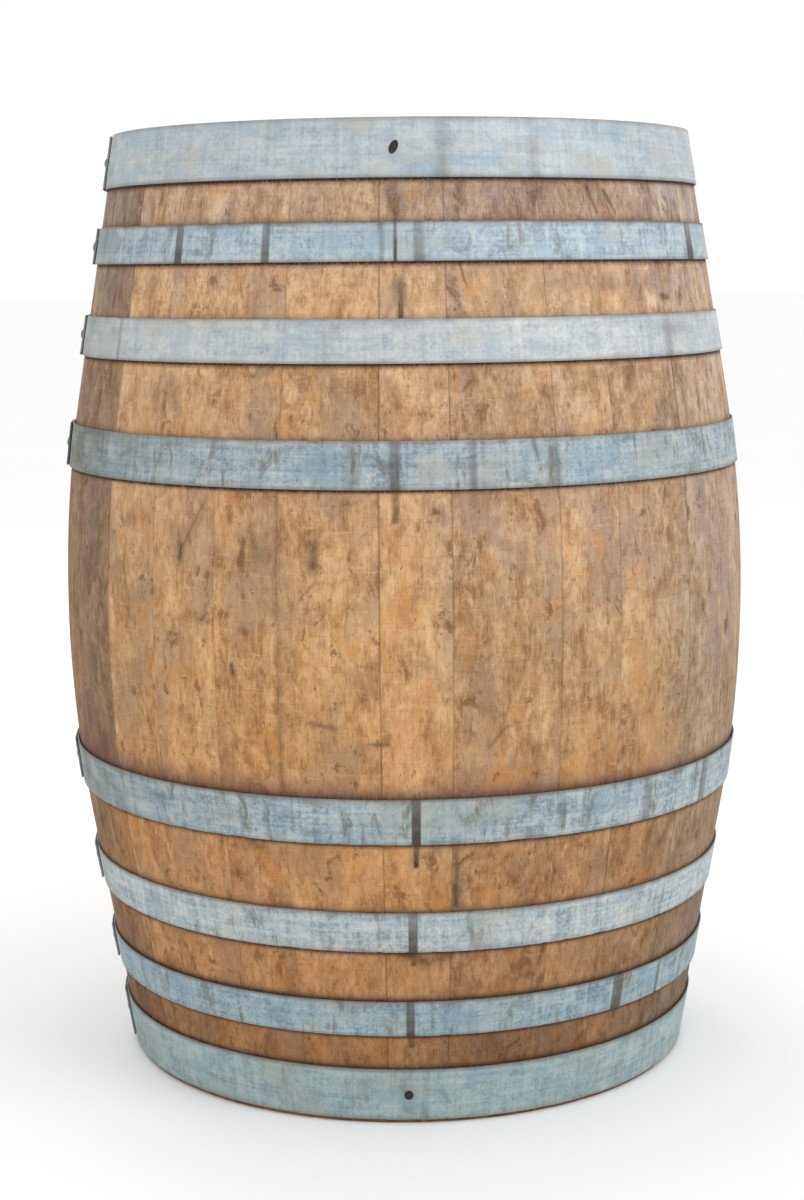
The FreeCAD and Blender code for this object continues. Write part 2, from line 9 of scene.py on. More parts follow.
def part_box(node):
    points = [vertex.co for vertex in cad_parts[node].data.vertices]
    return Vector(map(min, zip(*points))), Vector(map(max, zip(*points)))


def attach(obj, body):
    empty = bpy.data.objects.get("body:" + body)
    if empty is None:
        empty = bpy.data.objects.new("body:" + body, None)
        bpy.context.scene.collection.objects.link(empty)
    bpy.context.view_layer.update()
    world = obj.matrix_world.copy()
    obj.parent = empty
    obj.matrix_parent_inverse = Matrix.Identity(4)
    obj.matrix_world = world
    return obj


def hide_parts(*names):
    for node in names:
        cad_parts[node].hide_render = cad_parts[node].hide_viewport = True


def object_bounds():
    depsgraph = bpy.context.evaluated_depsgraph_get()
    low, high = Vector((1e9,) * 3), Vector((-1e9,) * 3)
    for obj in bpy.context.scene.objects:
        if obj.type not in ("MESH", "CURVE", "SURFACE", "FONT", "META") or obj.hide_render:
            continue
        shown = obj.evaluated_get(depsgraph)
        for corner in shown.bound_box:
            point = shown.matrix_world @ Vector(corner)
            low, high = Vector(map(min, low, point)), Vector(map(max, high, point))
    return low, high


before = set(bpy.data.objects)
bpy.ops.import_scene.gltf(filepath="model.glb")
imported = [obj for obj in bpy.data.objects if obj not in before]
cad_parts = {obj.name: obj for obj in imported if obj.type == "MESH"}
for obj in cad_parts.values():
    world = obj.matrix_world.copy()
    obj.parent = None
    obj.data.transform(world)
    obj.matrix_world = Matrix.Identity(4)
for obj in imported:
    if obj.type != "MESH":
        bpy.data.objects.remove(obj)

# Oak wine barrel. Metres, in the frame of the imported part: +Z up, front at -Y, bung at +Y.
# A bearing is an angle round the axis, in radians: 0 is the front and +90 degrees is +X.

CAD_LOW, CAD_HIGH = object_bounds()
MM = 0.001

# ------------------------------------------------------------------ the staves' surface

HEIGHT = CAD_HIGH.z
HALF = HEIGHT / 2
BILGE_RADIUS = CAD_HIGH.x
BOW_RADIUS = 1.285
BOW_HALF_HEIGHT = 0.2135
TAPER = math.asin(BOW_HALF_HEIGHT / BOW_RADIUS)
STAVE_THICKNESS = 27 * MM
END_FACE = 14 * MM
CHIME_BEVEL = 24 * MM
CROZE_NEAR = 47.5 * MM
CROZE_FAR = 52.5 * MM
CROZE_DEPTH = 5 * MM


def surface_radius(z, inset=0.0):
    """Radius of the staves' outer surface at a height, or of a surface inset below it."""
    bow = BOW_RADIUS - inset
    centre = BILGE_RADIUS - BOW_RADIUS
    t = np.abs(np.asarray(z, float) - HALF)
    limit = bow * math.sin(TAPER)
    on_bow = centre + np.sqrt(np.maximum(bow ** 2 - np.minimum(t, limit) ** 2, 0))
    return on_bow - math.tan(TAPER) * np.maximum(t - limit, 0)


def surface_slope(z):
    """How far the outer surface leans in towards the axis, going up, as an angle."""
    t = np.asarray(z, float) - HALF
    return np.clip(np.arcsin(np.clip(t / BOW_RADIUS, -1, 1)), -TAPER, TAPER)


def mesh_points(mesh):
    points = np.empty(len(mesh.vertices) * 3, np.float32)
    mesh.vertices.foreach_get("co", points)
    return points.reshape(-1, 3).astype(float)


def cad_points(node):
    return mesh_points(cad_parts[node].data)


def bearing_of(points):
    return np.arctan2(points[:, 0], -points[:, 1])


def bearing_range(node):
    """The bearings of a stave's two joints."""
    points = cad_points(node)
    middle = math.atan2(points[:, 0].sum(), -points[:, 1].sum())
    off = np.angle(np.exp(1j * (bearing_of(points) - middle)))
    return middle + off.min(), middle + off.max()


def clusters(node, reach):
    """The separate small solids of a node, as lists of points."""
    found = []
    for point in cad_points(node):
        for group in found:
            if np.linalg.norm(group[0] - point) < reach:
                group.append(point)
                break
        else:
            found.append([point])
    return [np.array(group) for group in found]


# ------------------------------------------------------------------ small tools

def ripple(u, v, seed):
    """Smooth two-dimensional noise from -1 to 1 on a unit lattice."""
    cells = 97
    grid = np.random.default_rng(seed).random((cells, cells)) * 2 - 1
    iu, iv = np.floor(u).astype(int), np.floor(v).astype(int)
    fu, fv = u - iu, v - iv
    fu, fv = fu * fu * (3 - 2 * fu), fv * fv * (3 - 2 * fv)
    a, b = iu % cells, (iu + 1) % cells
    c, d = iv % cells, (iv + 1) % cells
    low = grid[a, c] * (1 - fu) + grid[b, c] * fu
    high = grid[a, d] * (1 - fu) + grid[b, d] * fu
    return low * (1 - fv) + high * fv


def smooth_step(x, low, high):
    t = np.clip((x - low) / (high - low), 0, 1)
    return t * t * (3 - 2 * t)


def bell(*offsets):
    """Falls smoothly from 1 as any of the offsets, counted in widths, leaves 0."""
    return np.exp(-sum(offset ** 2 for offset in offsets))


def at_bearing(radius, bearing, z):
    """A list of x, y, z from radius, bearing and height."""
    return np.stack([radius * np.sin(bearing), -radius * np.cos(bearing), z], -1).reshape(-1, 3)


def grid_faces(rows, columns, first=0, close_rows=False):
    """Quads of a grid of points stored row by row; close_rows joins the last row to the first."""
    row = np.arange(rows if close_rows else rows - 1)
    column = np.arange(columns - 1)
    r, c = np.meshgrid(row, column, indexing="ij")
    following = (r + 1) % rows
    quads = np.stack([r * columns + c, r * columns + c + 1,
                      following * columns + c + 1, following * columns + c], -1)
    return (quads.reshape(-1, 4) + first).tolist()


def tube_faces(rows, columns):
    """Quads of a closed loop of rows, and a face over each end of the tube they make."""
    first = [row * columns for row in range(rows)]
    last = [row * columns + columns - 1 for row in reversed(range(rows))]
    return grid_faces(rows, columns, close_rows=True) + [first, last]


def turned_faces(rings, count):
    """Faces of a turned solid whose points are stored ring by ring, with both ends closed."""
    faces = [[ring * count + i, ring * count + (i + 1) % count,
              (ring + 1) * count + (i + 1) % count, (ring + 1) * count + i]
             for ring in range(rings - 1) for i in range(count)]
    last = (rings - 1) * count
    return faces + [list(range(count)), [last + i for i in reversed(range(count))]]


def closed_mesh(name, points, faces, split=True):
    """A mesh with its faces turned outward; split cuts its many-sided faces into triangles."""
    mesh = bpy.data.meshes.new(name)
    mesh.from_pydata(np.asarray(points).tolist(), [], faces)
    shape = bmesh.new()
    shape.from_mesh(mesh)
    if split:
        bmesh.ops.triangulate(shape, faces=[face for face in shape.faces if len(face.verts) > 4])
    bmesh.ops.recalc_face_normals(shape, faces=shape.faces)
    shape.to_mesh(mesh)
    shape.free()
    return mesh


def add_object(name, data):
    made = bpy.data.objects.new(name, data)
    bpy.context.scene.collection.objects.link(made)
    return made


def make_piece(name, points, faces, materials, node, body="barrel", sharp=35):
    """A mesh object in the row frame that stands for a CAD node and rides on its body."""
    mesh = closed_mesh(name, points, faces)
    for material in materials:
        mesh.materials.append(material)
    mesh.polygons.foreach_set("use_smooth", [True] * len(mesh.polygons))
    mesh.set_sharp_from_angle(angle=math.radians(sharp))
    piece = add_object(name, mesh)
    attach(piece, body)
    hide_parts(node)
    return piece


def set_attributes(mesh, **attributes):
    """What a material reads at each point: vectors, numbers, or one number for all points."""
    for name, values in attributes.items():
        values = np.asarray(values, np.float32)
        if values.ndim == 2:
            made = mesh.attributes.new(name, "FLOAT_VECTOR", "POINT")
            made.data.foreach_set("vector", values.ravel())
        else:
            made = mesh.attributes.new(name, "FLOAT", "POINT")
            made.data.foreach_set("value", np.full(len(mesh.vertices), values, np.float32))


# ------------------------------------------------------------------ materials

def tint(red, green, blue):
    """A colour given as it looks on a screen, 0 to 255, as linear light."""
    def linear(value):
        value /= 255
        return value / 12.92 if value <= 0.04045 else ((value + 0.055) / 1.055) ** 2.4
    return (linear(red), linear(green), linear(blue), 1.0)


OAK_MIDDLE = (171, 139, 107)
ZINC_MIDDLE = (206, 219, 225)


class Paint:
    """Builds the nodes of one material."""

    def __init__(self, name):
        self.material = bpy.data.materials.new(name)
        self.material.use_nodes = True
        self.tree = self.material.node_tree
        self.shader = self.tree.nodes["Principled BSDF"]

    def feed(self, socket, value):
        if isinstance(value, bpy.types.NodeSocket):
            self.tree.links.new(value, socket)
        else:
            socket.default_value = value

    def node(self, kind, inputs, output=0, **settings):
        """A node with its inputs linked or set; gives back one of its outputs."""
        made = self.tree.nodes.new(kind)
        for name, value in settings.items():
            setattr(made, name, value)
        for key, value in inputs.items():
            self.feed(made.inputs[key], value)
        return made.outputs[output]

    def attribute(self, name, output="Fac"):
        return self.node("ShaderNodeAttribute", {}, output, attribute_name=name)

    def place(self):
        return self.node("ShaderNodeTexCoord", {}, "Object")

    def math(self, operation, first, second=0.0, third=0.0, clamp=False):
        return self.node("ShaderNodeMath", {0: first, 1: second, 2: third},
                         operation=operation, use_clamp=clamp)

    def blend(self, *parts):
        """The sum of some values, each with its weight."""
        (value, weight), *others = parts
        total = self.math("MULTIPLY", value, weight)
        for value, weight in others:
            total = self.math("MULTIPLY_ADD", value, weight, total)
        return total

    def noise(self, vector, scales, detail=3.0, roughness=0.55, distortion=0.0):
        stretched = self.node("ShaderNodeVectorMath", {0: vector, 1: scales}, operation="MULTIPLY")
        return self.node("ShaderNodeTexNoise", {"Vector": stretched, "Scale": 1.0, "Detail": detail,
                                                "Roughness": roughness, "Distortion": distortion})

    def between(self, value, low, high, to_low=0.0, to_high=1.0):
        """Remap a value smoothly from one range to another."""
        return self.node("ShaderNodeMapRange", dict(enumerate((value, low, high, to_low, to_high))),
                         interpolation_type="SMOOTHSTEP")

    def ramp(self, value, low, high, *stops):
        """Colours over a range of a value: each stop is its place and its red, green and blue."""
        output = self.node("ShaderNodeValToRGB", {0: self.between(value, low, high)})
        elements = output.node.color_ramp.elements
        while len(elements) < len(stops):
            elements.new(0.5)
        for element, (place, *colour) in zip(elements, stops):
            element.position = place
            element.color = tint(*colour)
        return output

    def mix(self, factor, first, second, blend="MIX"):
        return self.node("ShaderNodeMix", {0: factor, 6: first, 7: second}, 2,
                         data_type="RGBA", blend_type=blend)

    def shaded(self, colour):
        """The colour times the mesh's own shade, which on the staves holds painted light and shade."""
        return self.mix(1.0, colour, self.attribute("shade", "Vector"), blend="MULTIPLY")

    def stained(self, colour, value, low, high, strength, stain):
        """The colour, turning to a stain as a value goes from low to high."""
        return self.mix(self.between(value, low, high, 0.0, strength), colour, tint(*stain))

    def marked(self, colour, name, stain, ragged):
        """The colour, stained where the mesh carries the named mark."""
        share = self.math("MULTIPLY", self.attribute(name), ragged, clamp=True)
        return self.mix(share, colour, tint(*stain))

    def constants(self, **values):
        for name, value in values.items():
            self.shader.inputs[name.replace("_", " ")].default_value = value

    def finish(self, colour, roughness, relief, depth, strength, **constants):
        """Feed the shader its colour, its roughness and a bump of a depth in metres."""
        bump = self.node("ShaderNodeBump", {"Strength": strength, "Distance": depth, "Height": relief})
        for name, value in (("Base Color", colour), ("Roughness", roughness), ("Normal", bump)):
            self.feed(self.shader.inputs[name], value)
        self.constants(**constants)
        return self.material


def oak_fibres(paint, grain):
    """Noise shared by every oak surface; grain is (across, into the wood, along) in metres."""
    fine = paint.noise(grain, (640, 640, 60), detail=4, roughness=0.65)
    streak = paint.noise(grain, (170, 170, 12), detail=3)
    patch = paint.noise(grain, (165, 165, 88), detail=4, roughness=0.62, distortion=0.5)
    broad = paint.noise(grain, (42, 42, 24), detail=5, roughness=0.62, distortion=0.6)
    return fine, streak, patch, broad


def weathered_oak():
    """The outside of the staves: oak worn to a mottled tan, dark at some joints, dark beside hoops with
    dirt and painted shadow, and carrying painted light and shade by height and side.
    """
    paint = Paint("weathered_oak")
    grain = paint.attribute("grain", "Vector")
    fine, streak, patch, broad = oak_fibres(paint, grain)
    speck = paint.noise(grain, (430, 430, 300), detail=3, roughness=0.7)
    blend = paint.blend((streak, 0.10), (fine, 0.20), (patch, 0.25), (broad, 0.35), (speck, 0.10))
    blend = paint.math("ADD", blend, paint.attribute("tone"))
    colour = paint.ramp(blend, 0.32, 0.68, (0.00, 116, 84, 56), (0.30, 152, 118, 86),
                        (0.50, *OAK_MIDDLE), (0.70, 189, 157, 124), (1.00, 208, 180, 148))
    # Orange where the wood is fresher, grey-violet where it has weathered.
    cloud = paint.noise(grain, (17, 17, 9), detail=4, roughness=0.6)
    hue = paint.noise(grain, (33, 33, 22), detail=5, roughness=0.66, distortion=0.6)
    colour = paint.stained(colour, cloud, 0.48, 0.66, 0.60, (150, 132, 118))
    colour = paint.stained(colour, cloud, 0.46, 0.32, 0.40, (196, 164, 128))
    colour = paint.stained(colour, hue, 0.53, 0.68, 0.60, (186, 136, 84))
    colour = paint.stained(colour, hue, 0.46, 0.32, 0.45, (144, 118, 104))
    # Brown blots, small dark flecks, short cracks along the grain and scuffs across it.
    blots = paint.noise(grain, (62, 62, 38), detail=5, roughness=0.66, distortion=0.6)
    blots = paint.math("MULTIPLY", paint.between(blots, 0.56, 0.68),
                       paint.between(cloud, 0.36, 0.56, 0.25, 0.80))
    colour = paint.mix(blots, colour, tint(112, 78, 50))
    flecks = paint.noise(grain, (260, 260, 150), detail=2)
    colour = paint.stained(colour, flecks, 0.66, 0.74, 0.60, (92, 64, 44))
    cracks = paint.between(paint.noise(grain, (620, 620, 14), detail=2), 0.68, 0.76)
    colour = paint.mix(paint.math("MULTIPLY", cracks, 0.35), colour, tint(96, 66, 44))
    scuffs = paint.noise(grain, (36, 36, 420), detail=3, roughness=0.6)
    colour = paint.stained(colour, scuffs, 0.60, 0.72, 0.30, (212, 184, 150))
    colour = paint.stained(colour, scuffs, 0.40, 0.28, 0.35, (122, 92, 66))
    # The mesh's shade: the oak's colour by height and side, with painted light and shade in it.
    colour = paint.shaded(colour)
    # Dirt along joints, dirt and painted shadow beside the hoops, wine and drips.
    ragged = paint.between(fine, 0.25, 0.75, 0.65, 1.25)
    for name, stain in (("joint", (80, 56, 38)), ("wine", (88, 58, 58)),
                        ("drip", (54, 40, 31)), ("grime", (56, 38, 28))):
        colour = paint.marked(colour, name, stain, ragged)
    relief = paint.blend((fine, 1.0), (streak, 0.5), (patch, 0.7), (cracks, -0.7), (blots, -0.4))
    rough = paint.between(blend, 0.3, 0.7, 0.88, 0.68)
    return paint.finish(colour, rough, relief, 0.35 * MM, 0.55, Specular_IOR_Level=0.3)


def sawn_oak():
    """End faces and the inside of the chime: rough-cut oak gone grey-brown, dark in its joints."""
    paint = Paint("sawn_oak")
    grain = paint.attribute("grain", "Vector")
    pores = paint.noise(grain, (950, 950, 500), detail=3, roughness=0.7)
    rings = paint.noise(grain, (300, 520, 28), detail=3, distortion=0.4)
    cloud = paint.noise(grain, (26, 60, 20), detail=4, roughness=0.6)
    blend = paint.blend((pores, 0.28), (rings, 0.42), (cloud, 0.30))
    colour = paint.ramp(blend, 0.34, 0.66, (0.0, 112, 84, 60), (0.5, 152, 122, 92), (1.0, 188, 162, 130))
    colour = paint.marked(colour, "joint", (52, 38, 30), 1.6)
    rough = paint.between(blend, 0.3, 0.7, 0.92, 0.78)
    return paint.finish(colour, rough, blend, 0.4 * MM, 0.5, Specular_IOR_Level=0.25)


def toasted_oak():
    """The inside of the barrel: toasted by fire and soaked with red wine."""
    paint = Paint("toasted_oak")
    fine, streak, patch, broad = oak_fibres(paint, paint.attribute("grain", "Vector"))
    blend = paint.blend((patch, 0.6), (fine, 0.4))
    colour = paint.ramp(blend, 0.3, 0.7, (0.0, 36, 20, 18), (0.5, 74, 36, 34), (1.0, 112, 68, 52))
    rough = paint.between(broad, 0.3, 0.7, 0.85, 0.6)
    return paint.finish(colour, rough, paint.math("ADD", fine, streak), 0.5 * MM, 0.7)


def head_oak():
    """Head boards: greyer oak with wine-dark soaking towards the croze."""
    paint = Paint("head_oak")
    grain = paint.attribute("grain", "Vector")
    fine, streak, patch, broad = oak_fibres(paint, grain)
    blend = paint.blend((streak, 0.34), (fine, 0.40), (patch, 0.30))
    blend = paint.math("ADD", blend, paint.attribute("tone"))
    colour = paint.ramp(blend, 0.30, 0.78, (0.00, 104, 74, 48), (0.35, 160, 120, 82),
                        (0.65, 192, 154, 114), (1.00, 216, 186, 148))
    colour = paint.stained(colour, broad, 0.46, 0.66, 0.5, (158, 140, 122))
    checks = paint.between(paint.noise(grain, (560, 560, 8), detail=2), 0.65, 0.73)
    colour = paint.mix(paint.math("MULTIPLY", checks, 0.5), colour, tint(84, 58, 40))
    colour = paint.marked(colour, "grime", (72, 42, 38), paint.between(patch, 0.2, 0.7, 0.7, 1.2))
    rough = paint.between(blend, 0.3, 0.8, 0.88, 0.7)
    relief = paint.blend((fine, 1.0), (checks, -0.8))
    return paint.finish(colour, rough, relief, 0.35 * MM, 0.6, Specular_IOR_Level=0.3)


def galvanised_steel():
    """Weathered zinc: pale blue-grey, mottled, streaked, browned at its edges by dirt and painted shadow,
    and darkened towards the left by patina and painted shade.
    """
    paint = Paint("galvanised_steel")
    strip = paint.attribute("strip", "Vector")
    cloud = paint.noise(strip, (34, 60, 1), detail=5, roughness=0.66, distortion=0.5)
    speck = paint.noise(strip, (300, 260, 1), detail=4, roughness=0.72)
    runs = paint.noise(strip, (170, 8, 1), detail=3, roughness=0.65)
    rolled = paint.noise(strip, (9, 330, 1), detail=3)
    blend = paint.blend((speck, 0.30), (cloud, 0.34), (runs, 0.20), (rolled, 0.16))
    off_middle = paint.math("SUBTRACT", blend, 0.5)
    blend = paint.math("MULTIPLY_ADD", off_middle, paint.attribute("contrast"), 0.5)
    colour = paint.ramp(blend, 0.30, 0.70, (0.00, 150, 164, 172), (0.30, 184, 200, 209),
                        (0.55, *ZINC_MIDDLE), (0.78, 222, 229, 231), (1.00, 240, 241, 238))
    dull = paint.noise(strip, (15, 26, 1), detail=4)
    colour = paint.stained(colour, dull, 0.50, 0.68, 0.60, (206, 206, 196))
    cool = paint.noise(strip, (22, 30, 1.3), detail=3)
    colour = paint.shaded(paint.stained(colour, cool, 0.52, 0.68, 0.55, (172, 198, 216)))
    pits = paint.noise(strip, (420, 380, 1), detail=2)
    colour = paint.stained(colour, pits, 0.66, 0.74, 0.45, (96, 98, 94))
    tarnish = paint.noise(strip, (70, 20, 1), detail=5, roughness=0.7, distortion=0.4)
    colour = paint.marked(colour, "tarnish", (112, 112, 102), paint.between(tarnish, 0.53, 0.68))
    # Patina with painted shade on the left, dirt and painted shadow at the edges, drips, and wine.
    for name, stain, low, high in (("patina", (84, 88, 72), 0.55, 1.35),
                                   ("grime", (108, 92, 76), 0.70, 1.25),
                                   ("drip", (66, 56, 46), 0.90, 1.10),
                                   ("wine", (130, 112, 124), 0.55, 1.35)):
        colour = paint.marked(colour, name, stain, paint.between(speck, 0.3, 0.7, low, high))
    rough = paint.between(blend, 0.3, 0.7, 0.68, 0.46)
    relief = paint.blend((cloud, 1.0), (speck, 0.5), (rolled, 0.5))
    return paint.finish(colour, rough, relief, 0.25 * MM, 0.5, Metallic=0.25)


def small_metal(name, dark, light, rust, metallic):
    """Rivet or nail metal with rust in its hollows."""
    paint = Paint(name)
    place = paint.place()
    mottle = paint.noise(place, (420, 420, 420), detail=4, roughness=0.65)
    worn = paint.noise(place, (160, 160, 160), detail=3)
    colour = paint.ramp(mottle, 0.3, 0.7, (0.0, *dark), (1.0, *light))
    colour = paint.stained(colour, worn, 0.5, 0.66, 0.7, rust)
    rough = paint.between(mottle, 0.3, 0.7, 0.7, 0.45)
    return paint.finish(colour, rough, mottle, 0.3 * MM, 0.7, Metallic=metallic)


def silicone():
    """The bung's silicone, cream, with wine in its pores lower down and a darker ring in the flange's
    dish, wine and painted shade.
    """
    paint = Paint("silicone")
    place = paint.place()
    cloud = paint.noise(place, (90, 90, 90), detail=3)
    colour = paint.ramp(cloud, 0.3, 0.7, (0.0, 204, 194, 172), (1.0, 218, 209, 190))
    smear = paint.noise(place, (60, 60, 200), detail=4, roughness=0.6)
    colour = paint.marked(colour, "wine", (112, 52, 60), paint.between(smear, 0.35, 0.65, 0.4, 1.2))
    rough = paint.between(cloud, 0.3, 0.7, 0.5, 0.36)
    pores = paint.noise(place, (900, 900, 900), detail=2)
    return paint.finish(colour, rough, pores, 0.1 * MM, 0.3,
                        Subsurface_Weight=0.15, Subsurface_Scale=0.004)


def fibrous(name, scales, dark, light, low_rough, high_rough, strength):
    """A material of straight fibres; the scales are smallest along them."""
    paint = Paint(name)
    fibre = paint.noise(paint.place(), scales, detail=3)
    colour = paint.ramp(fibre, 0.3, 0.7, (0.0, *dark), (1.0, *light))
    rough = paint.between(fibre, 0.3, 0.7, low_rough, high_rough)
    return paint.finish(colour, rough, fibre, 0.2 * MM, strength)


def dried_rush():
    """Flag strips between the head boards."""
    return fibrous("dried_rush", (9, 700, 700), (92, 76, 44), (160, 142, 92), 0.95, 0.8, 0.6)


def dowel_oak():
    """Split oak pegs inside the head joints, with grain along the peg."""
    return fibrous("dowel_oak", (700, 14, 700), (120, 84, 54), (196, 156, 112), 0.9, 0.75, 0.5)


# ------------------------------------------------------------------ hoops' places and stains

HOOP_KINDS = ("chime", "quarter", "french", "bilge")
HOOPS = {f"{end}_{kind}_hoop": tuple(corner.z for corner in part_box(f"{end}_{kind}_hoop"))
         for end in ("top", "bottom") for kind in HOOP_KINDS}

# Dark bands across hoops: bearing and half-width in degrees, strength, softness in degrees.
HOOP_BANDS = {
    "top_chime_hoop": ((7.2, 1.3, 0.30, 1.20), (24.0, 1.2, 0.22, 1.00)),
    "top_quarter_hoop": ((-41.5, 0.90, 0.72, 0.16), (-23.2, 0.75, 0.58, 0.20), (-1.0, 0.32, 0.75, 0.14),
                         (2.9, 0.95, 0.45, 0.35), (-3.2, 0.45, 0.30, 0.25), (63.8, 1.6, 0.75, 0.20)),
    "top_french_hoop": ((50.5, 1.2, 0.30, 0.50), (-56.0, 0.5, 0.35, 0.20)),
    "top_bilge_hoop": ((-1.3, 0.8, 0.60, 0.30), (10.5, 0.6, 0.45, 0.30), (23.8, 0.8, 0.38, 0.40),
                       (-7.5, 1.3, 0.25, 0.60)),
    "bottom_bilge_hoop": ((1.5, 0.72, 0.85, 0.16), (42.0, 0.9, 0.40, 0.40), (58.6, 1.2, 0.45, 0.40)),
    "bottom_french_hoop": ((0.9, 0.78, 0.72, 0.18),),
    "bottom_quarter_hoop": ((0.4, 0.75, 0.75, 0.16), (41.0, 1.3, 0.72, 0.20), (53.0, 0.5, 0.60, 0.20)),
    "bottom_chime_hoop": ((0.0, 1.2, 0.16, 0.80),),
}

# Drips on the wood: bearing and half-width in degrees, top and bottom height in mm, strength.
WOOD_DRIPS = (
    (-1.0, 0.40, 872, 838, 0.65), (-0.2, 0.45, 786, 752, 0.95), (-1.3, 1.2, 700, 652, 0.18),
    (-1.2, 0.6, 607, 574, 0.60), (1.5, 0.45, 286, 258, 1.00), (7.9, 0.40, 286, 236, 0.60),
    (7.9, 0.50, 240, 218, 0.90), (1.0, 0.45, 178, 160, 1.00), (0.5, 0.55, 94, 76, 0.85),
    (0.5, 0.70, 76, 60, 0.30), (-19.2, 0.6, 640, 330, 0.26), (34.5, 1.0, 300, 285, 0.25),
)


def soft_band(off, half_width, fade):
    return 1 - smooth_step(np.abs(off), half_width - fade, half_width + fade)


def degrees_off(bearing, centre):
    return (np.degrees(bearing) - centre + 180) % 360 - 180


# Strokes on the wood: knocks, scratches and stains between two points given by bearing in
# degrees and height in mm, with a half-width in mm and a strength.
WOOD_STROKES = (
    ((-32.4, 587), (-36.5, 544), 1.6, 0.45), ((-36.3, 550), (-36.7, 538), 3.0, 0.75),
    ((-27.4, 586), (-27.2, 574), 2.4, 0.50), ((-27.0, 445), (-26.8, 437), 2.4, 0.90),
    ((-13.4, 556), (-13.8, 538), 5.0, 0.60), ((-25.4, 478), (-24.4, 475), 3.0, 0.50),
    ((-15.3, 509), (-13.4, 522), 1.4, 0.42), ((-13.4, 522), (-10.1, 521), 1.4, 0.32),
    ((-14.7, 395), (-10.4, 391), 2.0, 0.55), ((-23.6, 562), (-22.0, 548), 9.0, 0.35),
    ((-59.0, 470), (-57.5, 405), 2.5, 0.50), ((-5.6, 377), (-2.6, 376), 1.6, 0.60),
    ((34.3, 872), (36.4, 846), 1.6, 0.75), ((38.3, 867), (40.9, 845), 1.6, 0.70),
    ((12.7, 372), (15.0, 389), 1.6, 0.45), ((15.0, 389), (17.4, 393), 1.6, 0.45),
    ((50.6, 770), (52.6, 769), 3.0, 0.80), ((47.0, 668), (50.0, 655), 8.0, 0.40),
    ((53.0, 690), (54.0, 658), 5.0, 0.45), ((-45.0, 690), (-43.0, 672), 7.0, 0.30),
    ((-2.0, 864), (-1.1, 852), 8.0, 0.48), ((-0.7, 784), (-0.3, 768), 7.0, 0.42),
    ((-0.5, 174), (3.2, 166), 6.5, 0.78), ((3.2, 167), (7.0, 172), 5.5, 0.60),
    ((-40.5, 700), (-38.5, 668), 5.0, 0.35), ((-8.0, 690), (-2.0, 660), 12.0, 0.18),
)


MEAN_RADIUS = 0.33
METRES_PER_DEGREE = math.radians(1) * MEAN_RADIUS


def wood_drips(bearing, z):
    """How strongly each point of the wood is stained by a drip or a stroke."""
    stain = np.zeros_like(z)
    for centre, half_width, top, bottom, strength in WOOD_DRIPS:
        band = soft_band(degrees_off(bearing, centre), half_width, 0.35 * half_width + 0.08)
        ends = smooth_step(z, bottom * MM, bottom * MM + 3 * MM)
        ends = ends * (1 - smooth_step(z, top * MM, top * MM + 3 * MM))
        gathered = np.interp(z, [bottom * MM, top * MM], [1.0, 0.6])
        stain = np.maximum(stain, strength * band * ends * gathered)
    for (from_bearing, from_z), (to_bearing, to_z), half_width, strength in WOOD_STROKES:
        u, v = degrees_off(bearing, from_bearing) * METRES_PER_DEGREE, z - from_z * MM
        du, dv = (to_bearing - from_bearing) * METRES_PER_DEGREE, (to_z - from_z) * MM
        along = np.clip((u * du + v * dv) / (du * du + dv * dv), 0, 1)
        away = np.hypot(u - along * du, v - along * dv)
        stain = np.maximum(stain, strength * bell(away / (half_width * MM)))
    return stain


# The dark lines on the wood under and over each hoop, dirt and painted shadow: how strong they are.
HOOP_DIRT_AND_SHADOW_LINES = {"top_chime_hoop": (1.10, 0.0), "top_quarter_hoop": (1.05, 0.35),
              "top_french_hoop": (1.05, 0.20), "top_bilge_hoop": (1.05, 0.30),
              "bottom_bilge_hoop": (0.95, 0.55), "bottom_french_hoop": (0.95, 0.50),
              "bottom_quarter_hoop": (0.95, 0.85), "bottom_chime_hoop": (0.60, 0.80)}


def hoop_dirt_and_shadow(z):
    """The line of dirt and painted shadow that each hoop leaves on the wood beside its edges."""
    dirt = np.zeros_like(z)
    for name, (low, high) in HOOPS.items():
        under, over = HOOP_DIRT_AND_SHADOW_LINES[name]
        below, above = low - z, z - high
        line = under * np.exp(-(np.maximum(below, 0) / (3.3 * MM)) ** 3)
        dirt = np.maximum(dirt, line * (below > -4 * MM))
        line = over * bell(np.maximum(above, 0) / (3.8 * MM))
        dirt = np.maximum(dirt, line * (above > -4 * MM))
    return dirt


# The oak's colour on a screen at a few heights: browner and darker low down, which is partly painted
# shade, and paler and greyer high up.
WOOD_COLOURS_WITH_LOW_SHADE = ((0.075, (144, 102, 64)), (0.160, (166, 120, 77)), (0.300, (176, 129, 83)),
                (0.465, (180, 138, 94)), (0.600, (176, 136, 98)), (0.770, (189, 149, 109)),
                (0.860, (176, 144, 114)))

# Red, green and blue against that colour, as painted light and shade by side: painted shade on the stave
# at the left outline, a cooler painted light from the middle to the right and round the back, and a pale,
# blue painted sheen at the right outline low down and high up.
LEFT_PAINTED_SHADE = np.array((0.56, 0.61, 0.70))
RIGHT_PAINTED_COOL_LIGHT = np.array((0.90, 0.96, 1.08))
OUTLINE_PAINTED_SHEEN_LOW = np.array((0.58, 0.78, 1.12))
OUTLINE_PAINTED_SHEEN_HIGH = np.array((0.86, 1.01, 1.32))

# Lighter and darker areas: bearing in degrees, height in mm, half-width, half-height, brightness.
WOOD_PATCHES = (
    (23, 862, 15, 30, 0.80), (14, 75, 9, 30, 0.76), (24, 560, 17, 35, 1.22), (22, 440, 15, 30, 0.92),
    (-44, 685, 9, 30, 0.86), (-47, 470, 6, 110, 0.87), (-47, 75, 7, 25, 0.72), (-36, 75, 5, 25, 1.15),
    (46, 780, 12, 25, 1.16), (-27, 465, 5, 40, 1.12), (-12, 380, 6, 35, 0.88), (42, 250, 6, 30, 0.86),
)


def between(share, first, second):
    """Mix two colours, or lists of colours, point by point."""
    return first + (second - first) * share[:, None]


